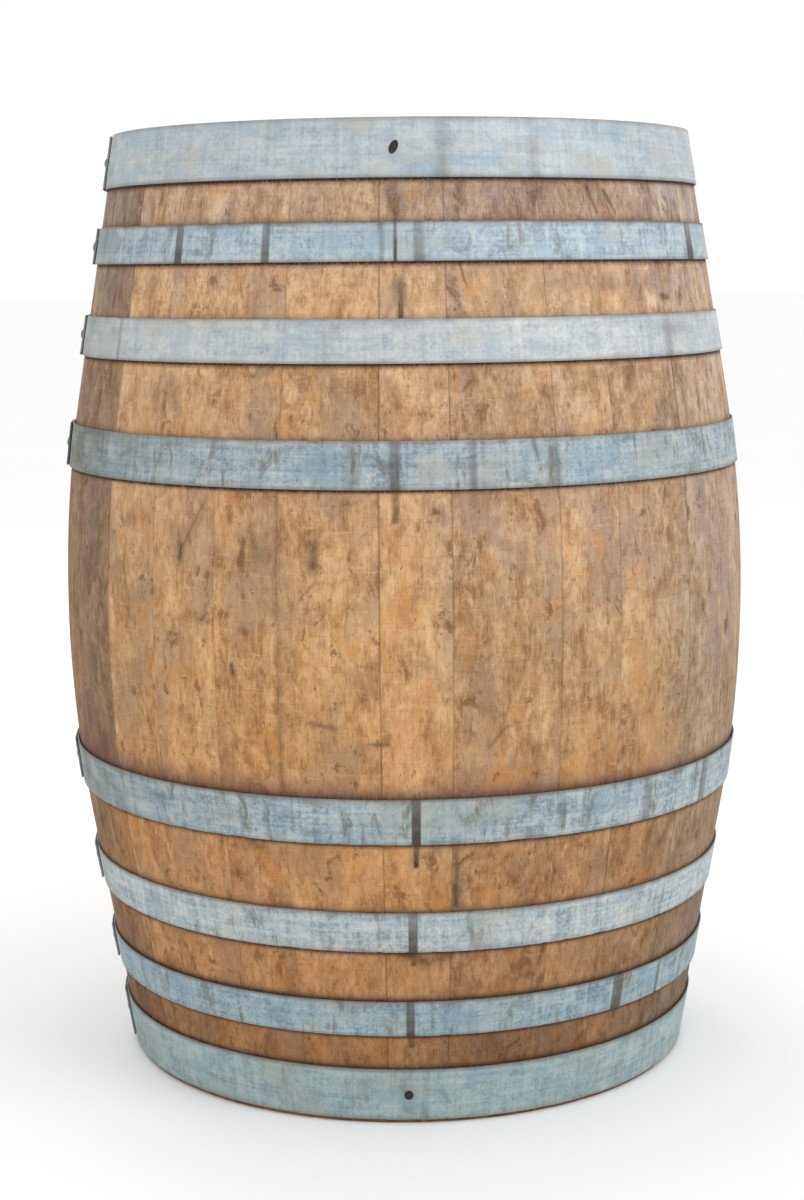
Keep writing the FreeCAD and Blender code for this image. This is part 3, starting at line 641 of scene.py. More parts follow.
def wood_tint_and_painted_light(bearing, z):
    """Each point's colour over the oak's own mid colour, with painted light and shade by height and side.
    """
    heights = [height for height, _ in WOOD_COLOURS_WITH_LOW_SHADE]
    levels = np.array([tint(*colour)[:3] for _, colour in WOOD_COLOURS_WITH_LOW_SHADE])
    shade = np.stack([np.interp(z, heights, levels[:, channel]) for channel in range(3)], 1)
    facing = degrees_off(bearing, 0)
    # The painted shade on the left stave ends at its joint above the lower bilge hoop and blends in below
    # it.
    blending = 1 - smooth_step(z, 0.31, 0.36)
    left = 1 - smooth_step(facing, -55 - 15 * blending, -54 + 6 * blending)
    left = left * smooth_step(facing, -130, -100)
    # Painted cool light from the middle round to the back, and a painted pale sheen at the right outline.
    right = np.maximum(smooth_step(facing, -2, 10), 1 - smooth_step(facing, -180, -130))
    outline = smooth_step(facing, 38, 56) * (1 - smooth_step(facing, 95, 140))
    side = between(right, np.ones((len(z), 3)), RIGHT_PAINTED_COOL_LIGHT)
    side = between(left, side, LEFT_PAINTED_SHADE)
    side = between(outline, side, between(smooth_step(z, 0.05, 0.85), OUTLINE_PAINTED_SHEEN_LOW, OUTLINE_PAINTED_SHEEN_HIGH))
    for centre, height, half_width, half_height, brightness in WOOD_PATCHES:
        near = bell(degrees_off(bearing, centre) / half_width, (z - height * MM) / (half_height * MM))
        side = side * (1 + (brightness - 1) * near[:, None])
    return shade * side / np.array(tint(*OAK_MIDDLE)[:3])


# The joints that read as dark lines: bearing in degrees and strength.
JOINT_LINES = ((-54.5, 0.22), (-42.4, 0.05), (-30.1, 0.10), (-19.3, 0.22), (-3.7, 0.60), (7.2, 0.45),
               (24.3, 0.35), (35.0, 0.10), (51.1, 0.45), (62.5, 0.40))
FAINT_JOINT = 0.25


def joint_strength(bearing):
    """How dark a joint is at a bearing."""
    for centre, strength in JOINT_LINES:
        if abs(degrees_off(bearing, centre)) < 1.5:
            return strength
    return FAINT_JOINT


def wine_line(bearing, z):
    """The purple-brown stain that lies just above the lower bilge hoop, widest on the left."""
    top = HOOPS["bottom_bilge_hoop"][1]
    leaning = 0.5 - 0.5 * np.sin(bearing)
    width = (6 + 9 * leaning) * MM
    low_line = (0.50 + 0.20 * leaning) * bell((z - top - 2 * MM) / width)
    blot = 0.36 * bell(degrees_off(bearing, 44) / 16, (z - 0.782) / 0.010)
    return np.maximum(low_line, blot)


# ------------------------------------------------------------------ staves

JOINT_GAP = 0.08 * MM
ARRIS = ((0.0, 0.22), (0.2, 0.10), (0.5, 0.03), (1.1, 0.0))
FRONT = math.radians(82)
WEATHERED, SAWN, TOASTED = range(3)
CROWN = 0.12 * MM
# Unevenness of the outside: depth in mm, length across and along in metres, seed offset.
STAVE_WAVES = ((0.16, 0.021, 0.11, 0), (0.05, 0.004, 0.05, 50))
JOINT_DIRT = 0.9 * MM


def stave_columns(width, step):
    """Distances across a stave, crowded at both joints, and how far the arris is rounded there."""
    edge = [distance * MM for distance, _ in ARRIS]
    drop = [depth * MM for _, depth in ARRIS]
    inner = np.linspace(edge[-1] + step * 0.5, width - edge[-1] - step * 0.5,
                        max(4, round(width / step)))
    places = np.concatenate([edge, inner, [width - distance for distance in reversed(edge)]])
    drops = np.concatenate([drop, np.zeros(len(inner)), drop[::-1]])
    return places, drops


def outer_rows(step):
    """Heights of the rows of points on the outside, crowded at the hoops' edges and the ends."""
    rows = set(np.round(np.arange(0.004, HEIGHT - 0.003, step), 5))
    for low, high in HOOPS.values():
        for near in (-5, -3, -1.5, 0, 1.5, 3):
            rows.add(round(low + near * MM, 5))
        for near in (-1.5, 0, 1.5, 3, 5):
            rows.add(round(high + near * MM, 5))
    kept = [0.0, 0.7 * MM, 1.8 * MM]
    for z in sorted(rows):
        if z - kept[-1] > 1.0 * MM and z < HEIGHT - 2.6 * MM:
            kept.append(float(z))
    return np.array(kept + [HEIGHT - 1.8 * MM, HEIGHT - 0.7 * MM, HEIGHT])


def end_profile():
    """Radius and height of the points from the top end face down to the inside of the stave."""
    end = float(surface_radius(HEIGHT))

    def inside(distance):
        return float(surface_radius(HEIGHT - distance, STAVE_THICKNESS))

    groove = inside(CROZE_NEAR) + CROZE_DEPTH
    bevel_foot = inside(CHIME_BEVEL)
    bevel_head = end - END_FACE
    profile = [(end - 2 * MM, HEIGHT), (end - 7 * MM, HEIGHT), (bevel_head + 0.8 * MM, HEIGHT),
               (bevel_head - 0.4 * MM, HEIGHT - 0.8 * MM)]
    for share in (0.25, 0.5, 0.75):
        profile.append((bevel_head + (bevel_foot - bevel_head) * share, HEIGHT - CHIME_BEVEL * share))
    profile += [(bevel_foot, HEIGHT - CHIME_BEVEL), (inside(0.036), HEIGHT - 0.036),
                (inside(CROZE_NEAR), HEIGHT - CROZE_NEAR), (groove, HEIGHT - CROZE_NEAR),
                (groove, HEIGHT - CROZE_FAR), (inside(CROZE_FAR), HEIGHT - CROZE_FAR)]
    return profile


def stave_section(step):
    """Closed section of a stave: radius, height, whether outside, and material of each stretch."""
    z_outer = outer_rows(step)
    r_outer = surface_radius(z_outer)
    rounding = np.minimum(z_outer, HEIGHT - z_outer)
    r_outer = r_outer - 0.9 * MM * (1 - smooth_step(rounding, 0, 2.2 * MM))
    top = end_profile()
    inner_z = np.linspace(HEIGHT - 0.075, 0.075, 44)
    inner = list(zip(surface_radius(inner_z, STAVE_THICKNESS), inner_z))
    bottom = [(r, HEIGHT - z) for r, z in reversed(top)]
    radius = np.concatenate([r_outer, [r for r, _ in top + inner + bottom]])
    height = np.concatenate([z_outer, [z for _, z in top + inner + bottom]])
    outside = np.zeros(len(radius), bool)
    outside[:len(z_outer)] = True
    stretch = [WEATHERED] * (len(z_outer) - 1) + [SAWN] * len(top) + [TOASTED] * (len(inner) + 1)
    stretch += [SAWN] * (len(radius) - len(stretch))
    return radius, height, outside, stretch


def dents(across, z, width, seed):
    """A few knocks in the outside of a stave."""
    generator = np.random.default_rng(seed)
    depth = np.zeros_like(z)
    for _ in range(5):
        u, v = generator.uniform(0.1, 0.9) * width, generator.uniform(0.06, 0.94) * HEIGHT
        wide, tall = generator.uniform(2, 6) * MM, generator.uniform(3, 14) * MM
        knock = generator.uniform(0.3, 0.9) * MM
        depth += knock * bell((across - u) / wide, (z - v) / tall)
    return depth


STAVE_TONES = {"stave_01": -0.02, "stave_02": -0.03, "stave_03": 0.015, "stave_08": -0.012}


def mark_wood(mesh, start, width, seed, tone):
    """Everything the oak materials read, worked out from where each point is."""
    points = mesh_points(mesh)
    middle = start + width / BILGE_RADIUS / 2
    off = np.angle(np.exp(1j * (bearing_of(points) - middle)))
    radius = np.hypot(points[:, 0], points[:, 1])
    bearing, z = middle + off, points[:, 2]
    across = off * BILGE_RADIUS + width / 2
    first, second = joint_strength(start), joint_strength(start + width / BILGE_RADIUS)
    waver = 0.75 + 0.35 * ripple(z / 0.045, np.full_like(z, seed), 700)
    joint = np.maximum(first * bell(np.maximum(across, 0) / JOINT_DIRT),
                       second * bell(np.maximum(width - across, 0) / JOINT_DIRT))
    drift = 0.02 * ripple(z / 0.16, np.full_like(z, seed), 900)
    set_attributes(mesh, grain=np.stack([across + seed * 1.7, radius, z + seed * 0.61], 1),
                   joint=joint * waver, grime=hoop_dirt_and_shadow(z), wine=wine_line(bearing, z),
                   drip=wood_drips(bearing, z), shade=wood_tint_and_painted_light(bearing, z), tone=tone + drift)


def make_stave(node, seed, materials):
    """One stave: crowned, its arrises worn, a little proud of or below its neighbours."""
    start, end = bearing_range(node)
    width = (end - start) * BILGE_RADIUS
    front = abs(math.remainder((start + end) / 2, 2 * math.pi)) < FRONT
    step = 1.7 * MM if front else 3.2 * MM
    radius, height, outside, stretch = stave_section(2.7 * MM if front else 4.4 * MM)
    places, drops = stave_columns(width - JOINT_GAP, step)
    bearing = start + (places + JOINT_GAP / 2) / BILGE_RADIUS
    generator = np.random.default_rng(seed)
    sink = generator.uniform(0, 0.12) * MM

    across, z = np.meshgrid(places, height)
    relief = sink + CROWN * (across / width * 2 - 1) ** 2
    for depth, wide, tall, offset in STAVE_WAVES:
        relief = relief + depth * MM * (1 + ripple(across / wide + seed, z / tall, seed + offset))
    relief = relief + dents(across, z, width, seed + 100) + drops[None, :]
    points = at_bearing(radius[:, None] - relief * outside[:, None], bearing[None, :], z)

    rows, columns = len(radius), len(places)
    piece = make_piece(f"{node}_look", points, tube_faces(rows, columns), materials, node)
    indices = [stretch[row] for row in range(rows) for _ in range(columns - 1)]
    indices += [SAWN] * (len(piece.data.polygons) - len(indices))
    piece.data.polygons.foreach_set("material_index", indices)
    if node == "bung_stave":
        cut_bung_hole(piece)
    spread = 0.012 if front else 0.030
    tone = STAVE_TONES.get(node, generator.uniform(-spread, spread))
    mark_wood(piece.data, start, width, seed, tone)


BUNG_LOW, BUNG_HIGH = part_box("bung")
HOLE_CLEARANCE = 0.3 * MM
HOLE_TAPER = 0.055
BUNG_NECK = 24.7 * MM


# The reamer: distance out from the bilge, and how far it flares there beyond its taper.
REAMER = ((-0.040, 0), (-0.0012, 0), (0.0004, 1.2 * MM), (0.012, 2.0 * MM))


def turned_on_bung_axis(profile, count):
    """Points and faces of a profile of radius and distance out from the bilge."""
    points = []
    for r, along in profile:
        for i in range(count):
            turn = 2 * math.pi * i / count
            points.append((r * math.cos(turn), BILGE_RADIUS + along, HALF + r * math.sin(turn)))
    return points, turned_faces(len(profile), count)


def cut_bung_hole(piece):
    """Ream the tapered hole through the bung stave, with an eased outer edge."""
    profile = [(BUNG_NECK + HOLE_CLEARANCE + HOLE_TAPER * along + flare, along)
               for along, flare in REAMER]
    points, faces = turned_on_bung_axis(profile, 96)
    reamer = add_object("reamer", closed_mesh("reamer", points, faces, split=False))
    cut = piece.modifiers.new("hole", "BOOLEAN")
    cut.operation = "DIFFERENCE"
    cut.solver = "EXACT"
    cut.object = reamer
    graph = bpy.context.evaluated_depsgraph_get()
    carved = bpy.data.meshes.new_from_object(piece.evaluated_get(graph))
    piece.modifiers.clear()
    piece.data = carved
    carved.set_sharp_from_angle(angle=math.radians(35))
    bpy.data.objects.remove(reamer)


# ------------------------------------------------------------------ hoops

HOOP_THICKNESS = 1.8 * MM
HOOP_LIFT = 0.2 * MM
LAP_START = math.radians(-95.5)
LAP_ANGLE = math.radians(15)
JOGGLE = math.radians(2.2)
END_REACH = 5 * MM
END_PINCH = 2.2 * MM
END_SPRING = 0.7 * MM
BURR = 0.55 * MM


def strip_section(width):
    """Round-edged section of the strip: distance up the strip and distance out from its back."""
    corner = 0.55 * MM
    face = np.linspace(corner, width - corner, 15)
    turn = np.radians([0, 22, 45, 68, 90])
    points = [(w, HOOP_THICKNESS) for w in face]
    points += [(width - corner + corner * math.sin(t), HOOP_THICKNESS - corner + corner * math.cos(t))
               for t in turn[1:]]
    points += [(width, 0.4 * MM), (width - 0.4 * MM, 0.0)]
    points += [(w, 0.0) for w in np.linspace(width - corner, corner, 5)[1:-1]]
    points += [(0.4 * MM, 0.0), (0.0, 0.4 * MM)]
    points += [(corner - corner * math.sin(t), HOOP_THICKNESS - corner + corner * math.cos(t))
               for t in turn[:0:-1]]
    return np.array(points)


def hoop_stations(name):
    """Angles along the strip from its hidden end, crowded at both ends of the strip, where it laps, and at
    the bands.
    """
    total = 2 * math.pi + LAP_ANGLE
    stations = set(np.round(np.linspace(0, total, 760), 6))
    for near in (0.0004, 0.001, 0.002, 0.004):
        stations.update((near, total - near))
    for centre, half_width, _, softness in HOOP_BANDS[name]:
        for edge in (-1, 1):
            for near in (-softness, 0, softness):
                place = math.radians(centre + edge * (half_width + near)) - LAP_START
                stations.add(round(place % (2 * math.pi), 6))
    ordered = sorted(stations)
    kept = [ordered[0]]
    for station in ordered[1:]:
        if station - kept[-1] > 0.0003:
            kept.append(station)
    kept[-1] = total
    return np.array(kept)


def make_hoop(name, seed, material):
    """A flat strip bent round the staves; its outer end laps over its inner end."""
    low, high = HOOPS[name]
    level = (low + high) / 2
    lean = float(surface_slope(level))
    foot = HOOP_THICKNESS * math.sin(abs(lean))
    width = (high - low - foot) / math.cos(lean)
    section = strip_section(width)
    stations = hoop_stations(name)
    along, across = np.meshgrid(stations, section[:, 0])
    out = np.meshgrid(stations, section[:, 1])[1]
    total = stations[-1]

    # Worn ends: the corners of the strip are cut back over the last few millimetres.
    closeness = np.minimum(along, total - along) / (END_REACH / BILGE_RADIUS)
    rounded = 1 - np.sqrt(np.clip(1 - (1 - closeness) ** 2, 0, 1))
    pinch = np.where(closeness < 1, rounded * END_PINCH, 0)
    middle = width / 2
    across = middle + (across - middle) * (1 - pinch / middle)

    # The outer layer steps up over the inner layer's end and lies on it.
    rise = smooth_step(along, 2 * math.pi - JOGGLE, 2 * math.pi)
    lift = HOOP_LIFT + rise * (HOOP_THICKNESS + 0.1 * MM)
    spring = END_SPRING * smooth_step(along, total - math.radians(3.5), total) ** 2

    # Strips are never quite true: they wander, lie unevenly, and their driven edge is burred.
    loop = along * BILGE_RADIUS
    straight = np.zeros_like(loop)
    at_top = name.startswith("top")
    wander = 0.45 * MM * ripple(loop / 0.35, straight, seed)
    wave = 0.14 * MM * (1 + ripple(loop / 0.06, across / 0.02, seed + 1))
    driven = across / width if at_top else 1 - across / width
    knock = ripple(loop / 0.009, straight, seed + 2)
    burr = BURR * smooth_step(knock, 0.55, 0.95) * smooth_step(driven, 0.80, 1.0)
    wander = wander - burr * (1 if at_top else -1)

    height_in = low + (foot if lean < 0 else 0) + across * math.cos(lean)
    base = float(surface_radius(level)) - (height_in - level) * math.tan(lean)
    outward = lift + spring + wave + out
    z = height_in + wander + outward * math.sin(lean)
    angle = along + LAP_START
    points = at_bearing(base + outward * math.cos(lean), angle, z)

    faces = tube_faces(len(section), len(stations))
    piece = make_piece(f"{name}_look", points, faces, [material], name, sharp=50)
    mark_hoop(piece.data, name, seed, across.ravel(), angle.ravel(), width)


# Each hoop's zinc: colour on a screen, the darkening towards its left end, patina and painted shade, and
# its reach in degrees, contrast, and the dirt and painted shadow along its upper and lower edge as
# strength and width in mm.
HOOP_COLOURS = {
    "top_chime_hoop": ((177, 186, 190), 0.60, 12, 0.9, (0.45, 3.2), (0.60, 2.6)),
    "top_quarter_hoop": ((168, 182, 190), 0.75, 18, 1.5, (0.95, 2.8), (0.60, 2.4)),
    "top_french_hoop": ((183, 189, 190), 0.55, 18, 0.9, (0.55, 3.0), (0.60, 2.4)),
    "top_bilge_hoop": ((156, 169, 175), 1.25, 28, 1.8, (0.55, 3.0), (0.60, 2.4)),
    "bottom_bilge_hoop": ((154, 168, 174), 1.00, 27, 1.9, (0.80, 2.8), (0.45, 2.6)),
    "bottom_french_hoop": ((170, 180, 183), 0.45, 15, 1.6, (0.80, 2.8), (0.45, 2.6)),
    "bottom_quarter_hoop": ((146, 165, 172), 0.20, 12, 1.8, (0.80, 2.8), (0.45, 2.6)),
    "bottom_chime_hoop": ((154, 171, 173), 0.45, 18, 1.2, (0.80, 2.8), (0.45, 2.6)),
}


def mark_hoop(mesh, name, seed, across, angle, width):
    """Everything the zinc material reads."""
    loop = angle * BILGE_RADIUS
    band = np.zeros_like(across)
    running_down = 1.30 - 0.55 * across / width
    for centre, half_width, strength, softness in HOOP_BANDS[name]:
        fade = running_down + 0.12 * ripple(across / 0.008, np.full_like(across, centre), seed)
        part = soft_band(degrees_off(angle, centre), half_width, softness) * strength * fade
        band = np.maximum(band, part)
    colour, strong, reach, contrast, upper_grime, lower_grime = HOOP_COLOURS[name]
    ragged = 0.8 + 0.4 * ripple(loop / 0.02, across / 0.004, seed + 5)
    # Dirt and painted shadow along the upper and lower edges.
    grime = [strength * bell(distance / (wide * MM * ragged))
             for (strength, wide), distance in ((upper_grime, width - across), (lower_grime, across))]
    # Patina together with painted shade, strongest towards the hoop's left side.
    left = bell(degrees_off(angle, -78) / reach)
    mottled = 0.75 + 0.35 * ripple(loop / 0.03, across / 0.015, seed + 9)
    smudge = 0.45 * bell(degrees_off(angle, 52) / 3.5, (across - 0.026) / 0.008)
    shade = np.array(tint(*colour)[:3]) / np.array(tint(*ZINC_MIDDLE)[:3])
    strip = np.stack([loop + seed * 3.1, across, np.full_like(across, seed * 0.37)], 1)
    set_attributes(mesh, strip=strip, drip=band, grime=np.maximum(*grime),
                   patina=np.clip(strong * left * mottled, 0, 1),
                   wine=smudge if name == "top_french_hoop" else 0,
                   shade=np.tile(shade, (len(across), 1)), contrast=contrast,
                   tarnish=0.9 * max(contrast - 0.8, 0))


# ------------------------------------------------------------------ rivets and nails

def pin_head(profile, seat, outward, seed, stretch=(1.0, 1.0), turn=0.0):
    """Points and faces of a domed head on a short shank, with hand-made unevenness."""
    count = 28
    generator = np.random.default_rng(seed)
    lean = generator.uniform(-0.05, 0.05, 2)
    axis = Vector(outward).normalized()
    side = axis.cross(Vector((0, 0, 1))).normalized()
    up = side.cross(axis)
    wobble = 1 + 0.05 * np.sin(np.arange(count) * 2 * math.pi / count * 2 + generator.uniform(0, 6))
    points = []
    for r, h in profile:
        for i in range(count):
            around = 2 * math.pi * i / count
            reach = r * (wobble[i] if h > 0 else 1)
            a, b = reach * math.cos(around) * stretch[0], reach * math.sin(around) * stretch[1]
            a, b = a * math.cos(turn) - b * math.sin(turn), a * math.sin(turn) + b * math.cos(turn)
            tilt = (lean[0] * a + lean[1] * b) if h > 0 else 0
            points.append(Vector(seat) + side * a + up * b + axis * (h + tilt))
    return points, turned_faces(len(profile), count)


def dome_profile(radius, height, depth, shank):
    """Radius and height of a hammered dome, from the foot of its shank to its crown."""
    profile = [(shank, -depth), (shank, -0.1 * MM), (radius * 0.93, 0.05 * MM), (radius, 0.25 * MM)]
    for share in (0.2, 0.4, 0.6, 0.78, 0.92, 0.985):
        profile.append((radius * math.sqrt(1 - share ** 2), max(height * share, 0.3 * MM)))
    profile.append((radius * 0.12, height))
    return profile


def hoop_surface(group, lift):
    """Bearing, seat and outward direction of a pin on the hoop it holds."""
    middle = group.mean(0)
    low, high = min(HOOPS.values(), key=lambda span: abs((span[0] + span[1]) / 2 - middle[2]))
    z = (low + high) / 2
    bearing = math.atan2(middle[0], -middle[1])
    slope = float(surface_slope(z))
    radius = float(surface_radius(z)) + lift * math.cos(slope)
    seat = (radius * math.sin(bearing), -radius * math.cos(bearing), z + lift * math.sin(slope))
    outward = (math.sin(bearing) * math.cos(slope), -math.cos(bearing) * math.cos(slope), math.sin(slope))
    return bearing, seat, outward


def join_pins(name, parts, material, node):
    points, faces = [], []
    for part_points, part_faces in parts:
        faces += [[index + len(points) for index in face] for face in part_faces]
        points += part_points
    return make_piece(name, points, faces, [material], node, sharp=50)


def make_rivets(end, material):
    """Two flattened domes through every lap."""
    node = f"{end}_hoop_rivets"
    lift = HOOP_LIFT + 2 * HOOP_THICKNESS + 0.3 * MM
    profile = dome_profile(5.0 * MM, 2.4 * MM, 3.0 * MM, 2.5 * MM)
    parts = []
    for number, group in enumerate(clusters(node, 0.02)):
        _, seat, outward = hoop_surface(group, lift)
        parts.append(pin_head(profile, seat, outward, number))
    join_pins(f"{end}_rivets_look", parts, material, node)


def make_nails(end, material):
    """Nails through the chime hoop; the front one at the top has a longer head turned at a slant."""
    node = f"{end}_hoop_nails"
    lift = HOOP_LIFT + HOOP_THICKNESS + 0.15 * MM
    parts = []
    for number, group in enumerate(clusters(node, 0.03)):
        bearing, seat, outward = hoop_surface(group, lift)
        at_front = abs(bearing) < math.radians(5)
        stretch, turn = ((0.86, 1.42), math.radians(28)) if at_front and end == "top" else ((1, 1.08), 0.3)
        profile = dome_profile(4.4 * MM, 1.7 * MM, 12 * MM, 1.3 * MM)
        parts.append(pin_head(profile, seat, outward, 40 + number, stretch, turn))
    join_pins(f"{end}_nails_look", parts, material, node)


# ------------------------------------------------------------------ heads

HEAD_CROZE = 50 * MM
TONGUE_HALF = 2.35 * MM
TONGUE_LENGTH = 5.5 * MM
OUTER_SIDE = 6 * MM
INNER_SIDE = 16 * MM
OUTER_BEVEL = 8 * MM
INNER_BEVEL = 24 * MM
HEAD_RADIUS = 271.1 * MM


def head_height(rho, face, bevel):
    """Height of a head's face above the middle of its tongue at a distance from the axis."""
    root = HEAD_RADIUS - TONGUE_LENGTH
    straight = np.clip((rho - root + bevel) / bevel, 0, 1)
    share = smooth_step(rho, root - bevel, root) * 0.35 + 0.65 * straight
    return face * (1 - share) + math.copysign(TONGUE_HALF, face) * share


def make_head_board(end, number, seed, materials):
    """One board of a head: a strip of the bevelled disc with worn arrises along its joints."""
    node = f"{end}_head_board_{number}"
    low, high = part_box(node)
    outward = 1 if end == "top" else -1
    tongue_z = HEIGHT - HEAD_CROZE if end == "top" else HEAD_CROZE
    generator = np.random.default_rng(seed)
    edges = np.array([0, 0.4, 0.9, 1.8, 4]) * MM
    y = np.concatenate([low.y + edges, np.linspace(low.y + 8 * MM, high.y - 8 * MM, 16),
                        high.y - edges[::-1]])
    y = np.clip(y, -HEAD_RADIUS + 0.6 * MM, HEAD_RADIUS - 0.6 * MM)
    crowded = np.array([0, 0.004, 0.010, 0.016, 0.026, 0.040, 0.060, 0.090])
    u = np.concatenate([crowded - 1, np.linspace(-0.87, 0.87, 60), 1 - crowded[::-1]])
    yy, uu = np.meshgrid(y, u, indexing="ij")
    xx = uu * np.sqrt(np.maximum(HEAD_RADIUS ** 2 - yy ** 2, 0))
    rho = np.hypot(xx, yy)
    from_edge = np.minimum(yy - low.y, high.y - yy)
    arris = 0.7 * MM * (1 - smooth_step(from_edge, 0, 1.6 * MM))
    cup = 0.25 * MM * (1 + ripple(xx / 0.15, yy / 0.03, seed)) + generator.uniform(0, 0.5) * MM
    top = head_height(rho, OUTER_SIDE, OUTER_BEVEL)
    wear = (arris + cup) * smooth_step(HEAD_RADIUS - rho, 4 * MM, 14 * MM)
    bottom = head_height(rho, -INNER_SIDE, INNER_BEVEL)
    points = np.concatenate([np.stack([xx, yy, tongue_z + outward * side], -1).reshape(-1, 3)
                             for side in (top - wear, bottom)])
    rows, columns = yy.shape
    count = rows * columns
    faces = grid_faces(rows, columns) + [face[::-1] for face in grid_faces(rows, columns, count)]
    boundary = list(range(columns))
    boundary += [r * columns + columns - 1 for r in range(1, rows)]
    boundary += [(rows - 1) * columns + c for c in range(columns - 2, -1, -1)]
    boundary += [r * columns for r in range(rows - 2, 0, -1)]
    for a, b in zip(boundary, boundary[1:] + boundary[:1]):
        faces.append([a, b, b + count, a + count])
    piece = make_piece(f"{node}_look", points, faces, materials, node)
    mesh = piece.data
    grid_count = (rows - 1) * (columns - 1)
    inner = [0] * grid_count + [1] * grid_count + [0] * (len(mesh.polygons) - 2 * grid_count)
    mesh.polygons.foreach_set("material_index", inner)
    x, y, z = mesh_points(mesh).T
    rim = HEAD_RADIUS - np.hypot(x, y)
    edge = np.maximum(np.minimum(y - low.y, high.y - y), 0)
    set_attributes(mesh, grain=np.stack([y + seed * 0.9, z, x + seed], 1),
                   grime=np.clip(0.85 * bell(rim / 0.018) + 0.55 * bell(edge / (1.2 * MM)), 0, 1),
                   tone=generator.uniform(-0.05, 0.05))


# ------------------------------------------------------------------ bung

# The plug's foot, and the dish in the flange: radius in mm, and mm above the foot or below the top.
BUNG_FOOT = ((0.4, 1.5), (12, 1.4), (17, 0.3), (19.5, 0))
BUNG_DISH = ((22, 0), (20.5, 0.3), (19.6, 1.4), (18.6, 2.3), (16, 2.7), (9, 2.9), (8.2, 2.6),
             (7.4, 2.3), (0.4, 2.2))
BUNG_ROUND = 3 * MM


def make_bung(material):
    """Tapered silicone bung with two faint rings on the plug and a dished flange with a raised middle."""
    bottom = BUNG_LOW.y - BILGE_RADIUS
    top = BUNG_HIGH.y - BILGE_RADIUS
    wide = BUNG_HIGH.x
    underside = 1.6 * MM

    def plug(along):
        ring = sum(0.22 * MM * bell((along + at) / (1.1 * MM)) for at in (0.009, 0.018))
        return BUNG_NECK + HOLE_TAPER * along - 0.25 * MM + ring

    profile = [(r * MM, bottom + rise * MM) for r, rise in BUNG_FOOT]
    profile += [(19.7 * MM + BUNG_ROUND * math.sin(turn), bottom + BUNG_ROUND * (1 - math.cos(turn)))
                for turn in np.radians([15, 35, 55, 75, 90])]
    profile += [(plug(along), along) for along in np.linspace(bottom + 4 * MM, -0.5 * MM, 44)]
    profile += [(plug(0) + 0.3 * MM, underside - 0.5 * MM), (plug(0) + 1.2 * MM, underside)]
    profile += [(wide - 1.2 * MM, underside), (wide - 0.3 * MM, underside + 0.4 * MM),
                (wide, underside + 1.2 * MM), (wide, top - 3.2 * MM)]
    profile += [(wide - BUNG_ROUND * (1 - math.cos(turn)), top - BUNG_ROUND * (1 - math.sin(turn)))
                for turn in np.radians([20, 40, 60, 80, 90])]
    profile += [(r * MM, top - depth * MM) for r, depth in BUNG_DISH]
    points, faces = turned_on_bung_axis(profile, 120)
    piece = make_piece("bung_look", points, faces, [material], "bung", body="bung", sharp=60)
    x, y, z = mesh_points(piece.data).T
    depth = BILGE_RADIUS - y
    # A darker ring in the dish wall: wine and painted shade.
    dish_wine_and_shade = 0.30 * bell((np.hypot(x, z - HALF) - 19 * MM) / (1.5 * MM)) * (depth < 0)
    set_attributes(piece.data, wine=0.60 * smooth_step(depth, -0.004, 0.020) + dish_wine_and_shade)


# ------------------------------------------------------------------ stage: floor, light, camera

CAMERA_DISTANCE = 2.281
CAMERA_HEIGHT = 0.798
CAMERA_PITCH = 0.14879
CAMERA_YAW = 0.00112
CAMERA_ROLL = -0.0093
FOCAL_LENGTH = 66.49


def make_stage():
    """A pale floor and plain soft studio light."""
    paint = Paint("pale_floor")
    cloud = paint.noise(paint.place(), (1.5, 1.5, 1.5), detail=2)
    pale = paint.mix(cloud, (0.96, 0.96, 0.96, 1), (0.98, 0.98, 0.98, 1))
    paint.feed(paint.shader.inputs["Base Color"], pale)
    paint.constants(Roughness=0.8, Specular_IOR_Level=0.2)
    mesh = bpy.data.meshes.new("floor")
    reach = 60.0
    mesh.from_pydata([(-reach, -reach, 0), (reach, -reach, 0), (reach, reach, 0), (-reach, reach, 0)],
                     [], [(0, 1, 2, 3)])
    mesh.materials.append(paint.material)
    floor = add_object("floor", mesh)

    world = bpy.data.worlds.new("studio")
    world.use_nodes = True
    background = world.node_tree.nodes["Background"]
    background.inputs["Color"].default_value = (1.0, 1.0, 1.0, 1.0)
    background.inputs["Strength"].default_value = 1.0
    bpy.context.scene.world = world


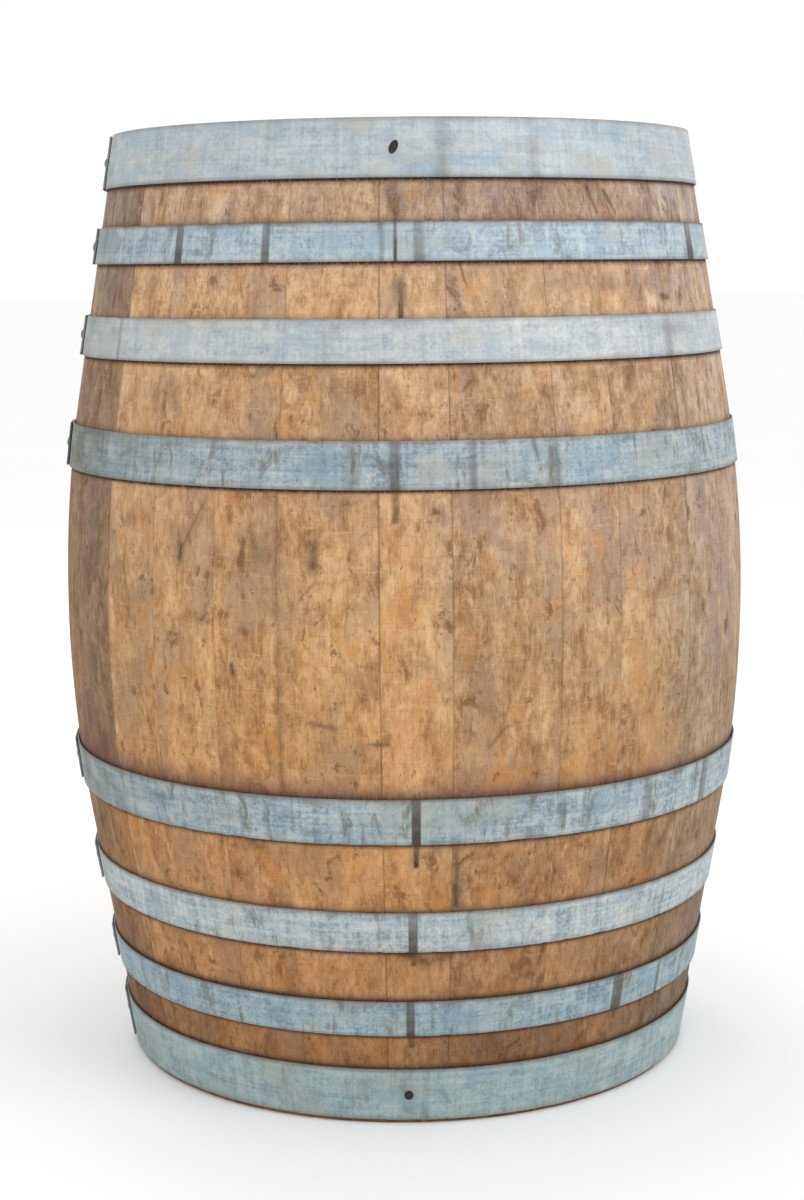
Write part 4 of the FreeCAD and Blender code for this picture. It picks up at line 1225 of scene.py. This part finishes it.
def area_light(name, place, target, size, power):
    data = bpy.data.lights.new(name, "AREA")
    data.shape = "DISK"
    data.size = size
    data.energy = power
    light = add_object(name, data)
    light.location = place
    light.rotation_euler = (Vector(target) - Vector(place)).to_track_quat("-Z", "Y").to_euler()


def make_lights():
    middle = (0, 0, HALF)
    area_light("key", (2.7, -2.1, 2.5), middle, 2.4, 36)
    area_light("fill", (-2.6, -2.6, 1.6), middle, 2.4, 5)
    area_light("back", (-1.5, 3.2, 2.4), middle, 2.4, 24)


def make_camera():
    data = bpy.data.cameras.new("camera")
    data.lens = FOCAL_LENGTH
    data.sensor_width = 36
    camera = add_object("camera", data)
    look = Matrix.Rotation(CAMERA_YAW, 4, "Z") @ Matrix.Rotation(math.pi / 2 - CAMERA_PITCH, 4, "X")
    look = look @ Matrix.Rotation(CAMERA_ROLL, 4, "Z")
    camera.matrix_world = Matrix.Translation((0, -CAMERA_DISTANCE, CAMERA_HEIGHT)) @ look
    bpy.context.scene.camera = camera
    bpy.context.scene.view_settings.view_transform = "Standard"


# ------------------------------------------------------------------ the whole barrel

def finish_cad_node(node, material):
    """A CAD node that stays as it is gets a better material."""
    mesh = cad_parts[node].data
    mesh.materials.clear()
    mesh.materials.append(material)


def build():
    stave_materials = [weathered_oak(), sawn_oak(), toasted_oak()]
    staves = sorted(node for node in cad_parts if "stave" in node)
    for seed, node in enumerate(staves, start=1):
        make_stave(node, seed, stave_materials)
    zinc = galvanised_steel()
    for seed, name in enumerate(HOOPS, start=200):
        make_hoop(name, seed, zinc)
    rivet = small_metal("rivet_steel", (96, 98, 98), (150, 154, 156), (110, 84, 62), 0.6)
    nail = small_metal("nail_iron", (22, 20, 20), (52, 46, 44), (66, 42, 30), 0.4)
    head_materials = [head_oak(), stave_materials[2]]
    peg, rush = dowel_oak(), dried_rush()
    for end in ("top", "bottom"):
        make_rivets(end, rivet)
        make_nails(end, nail)
        for number in range(1, 8):
            make_head_board(end, number, number + (10 if end == "top" else 20), head_materials)
        finish_cad_node(f"{end}_head_dowels", peg)
        finish_cad_node(f"{end}_head_rush", rush)
    make_bung(silicone())


make_camera()
make_stage()
make_lights()
build()
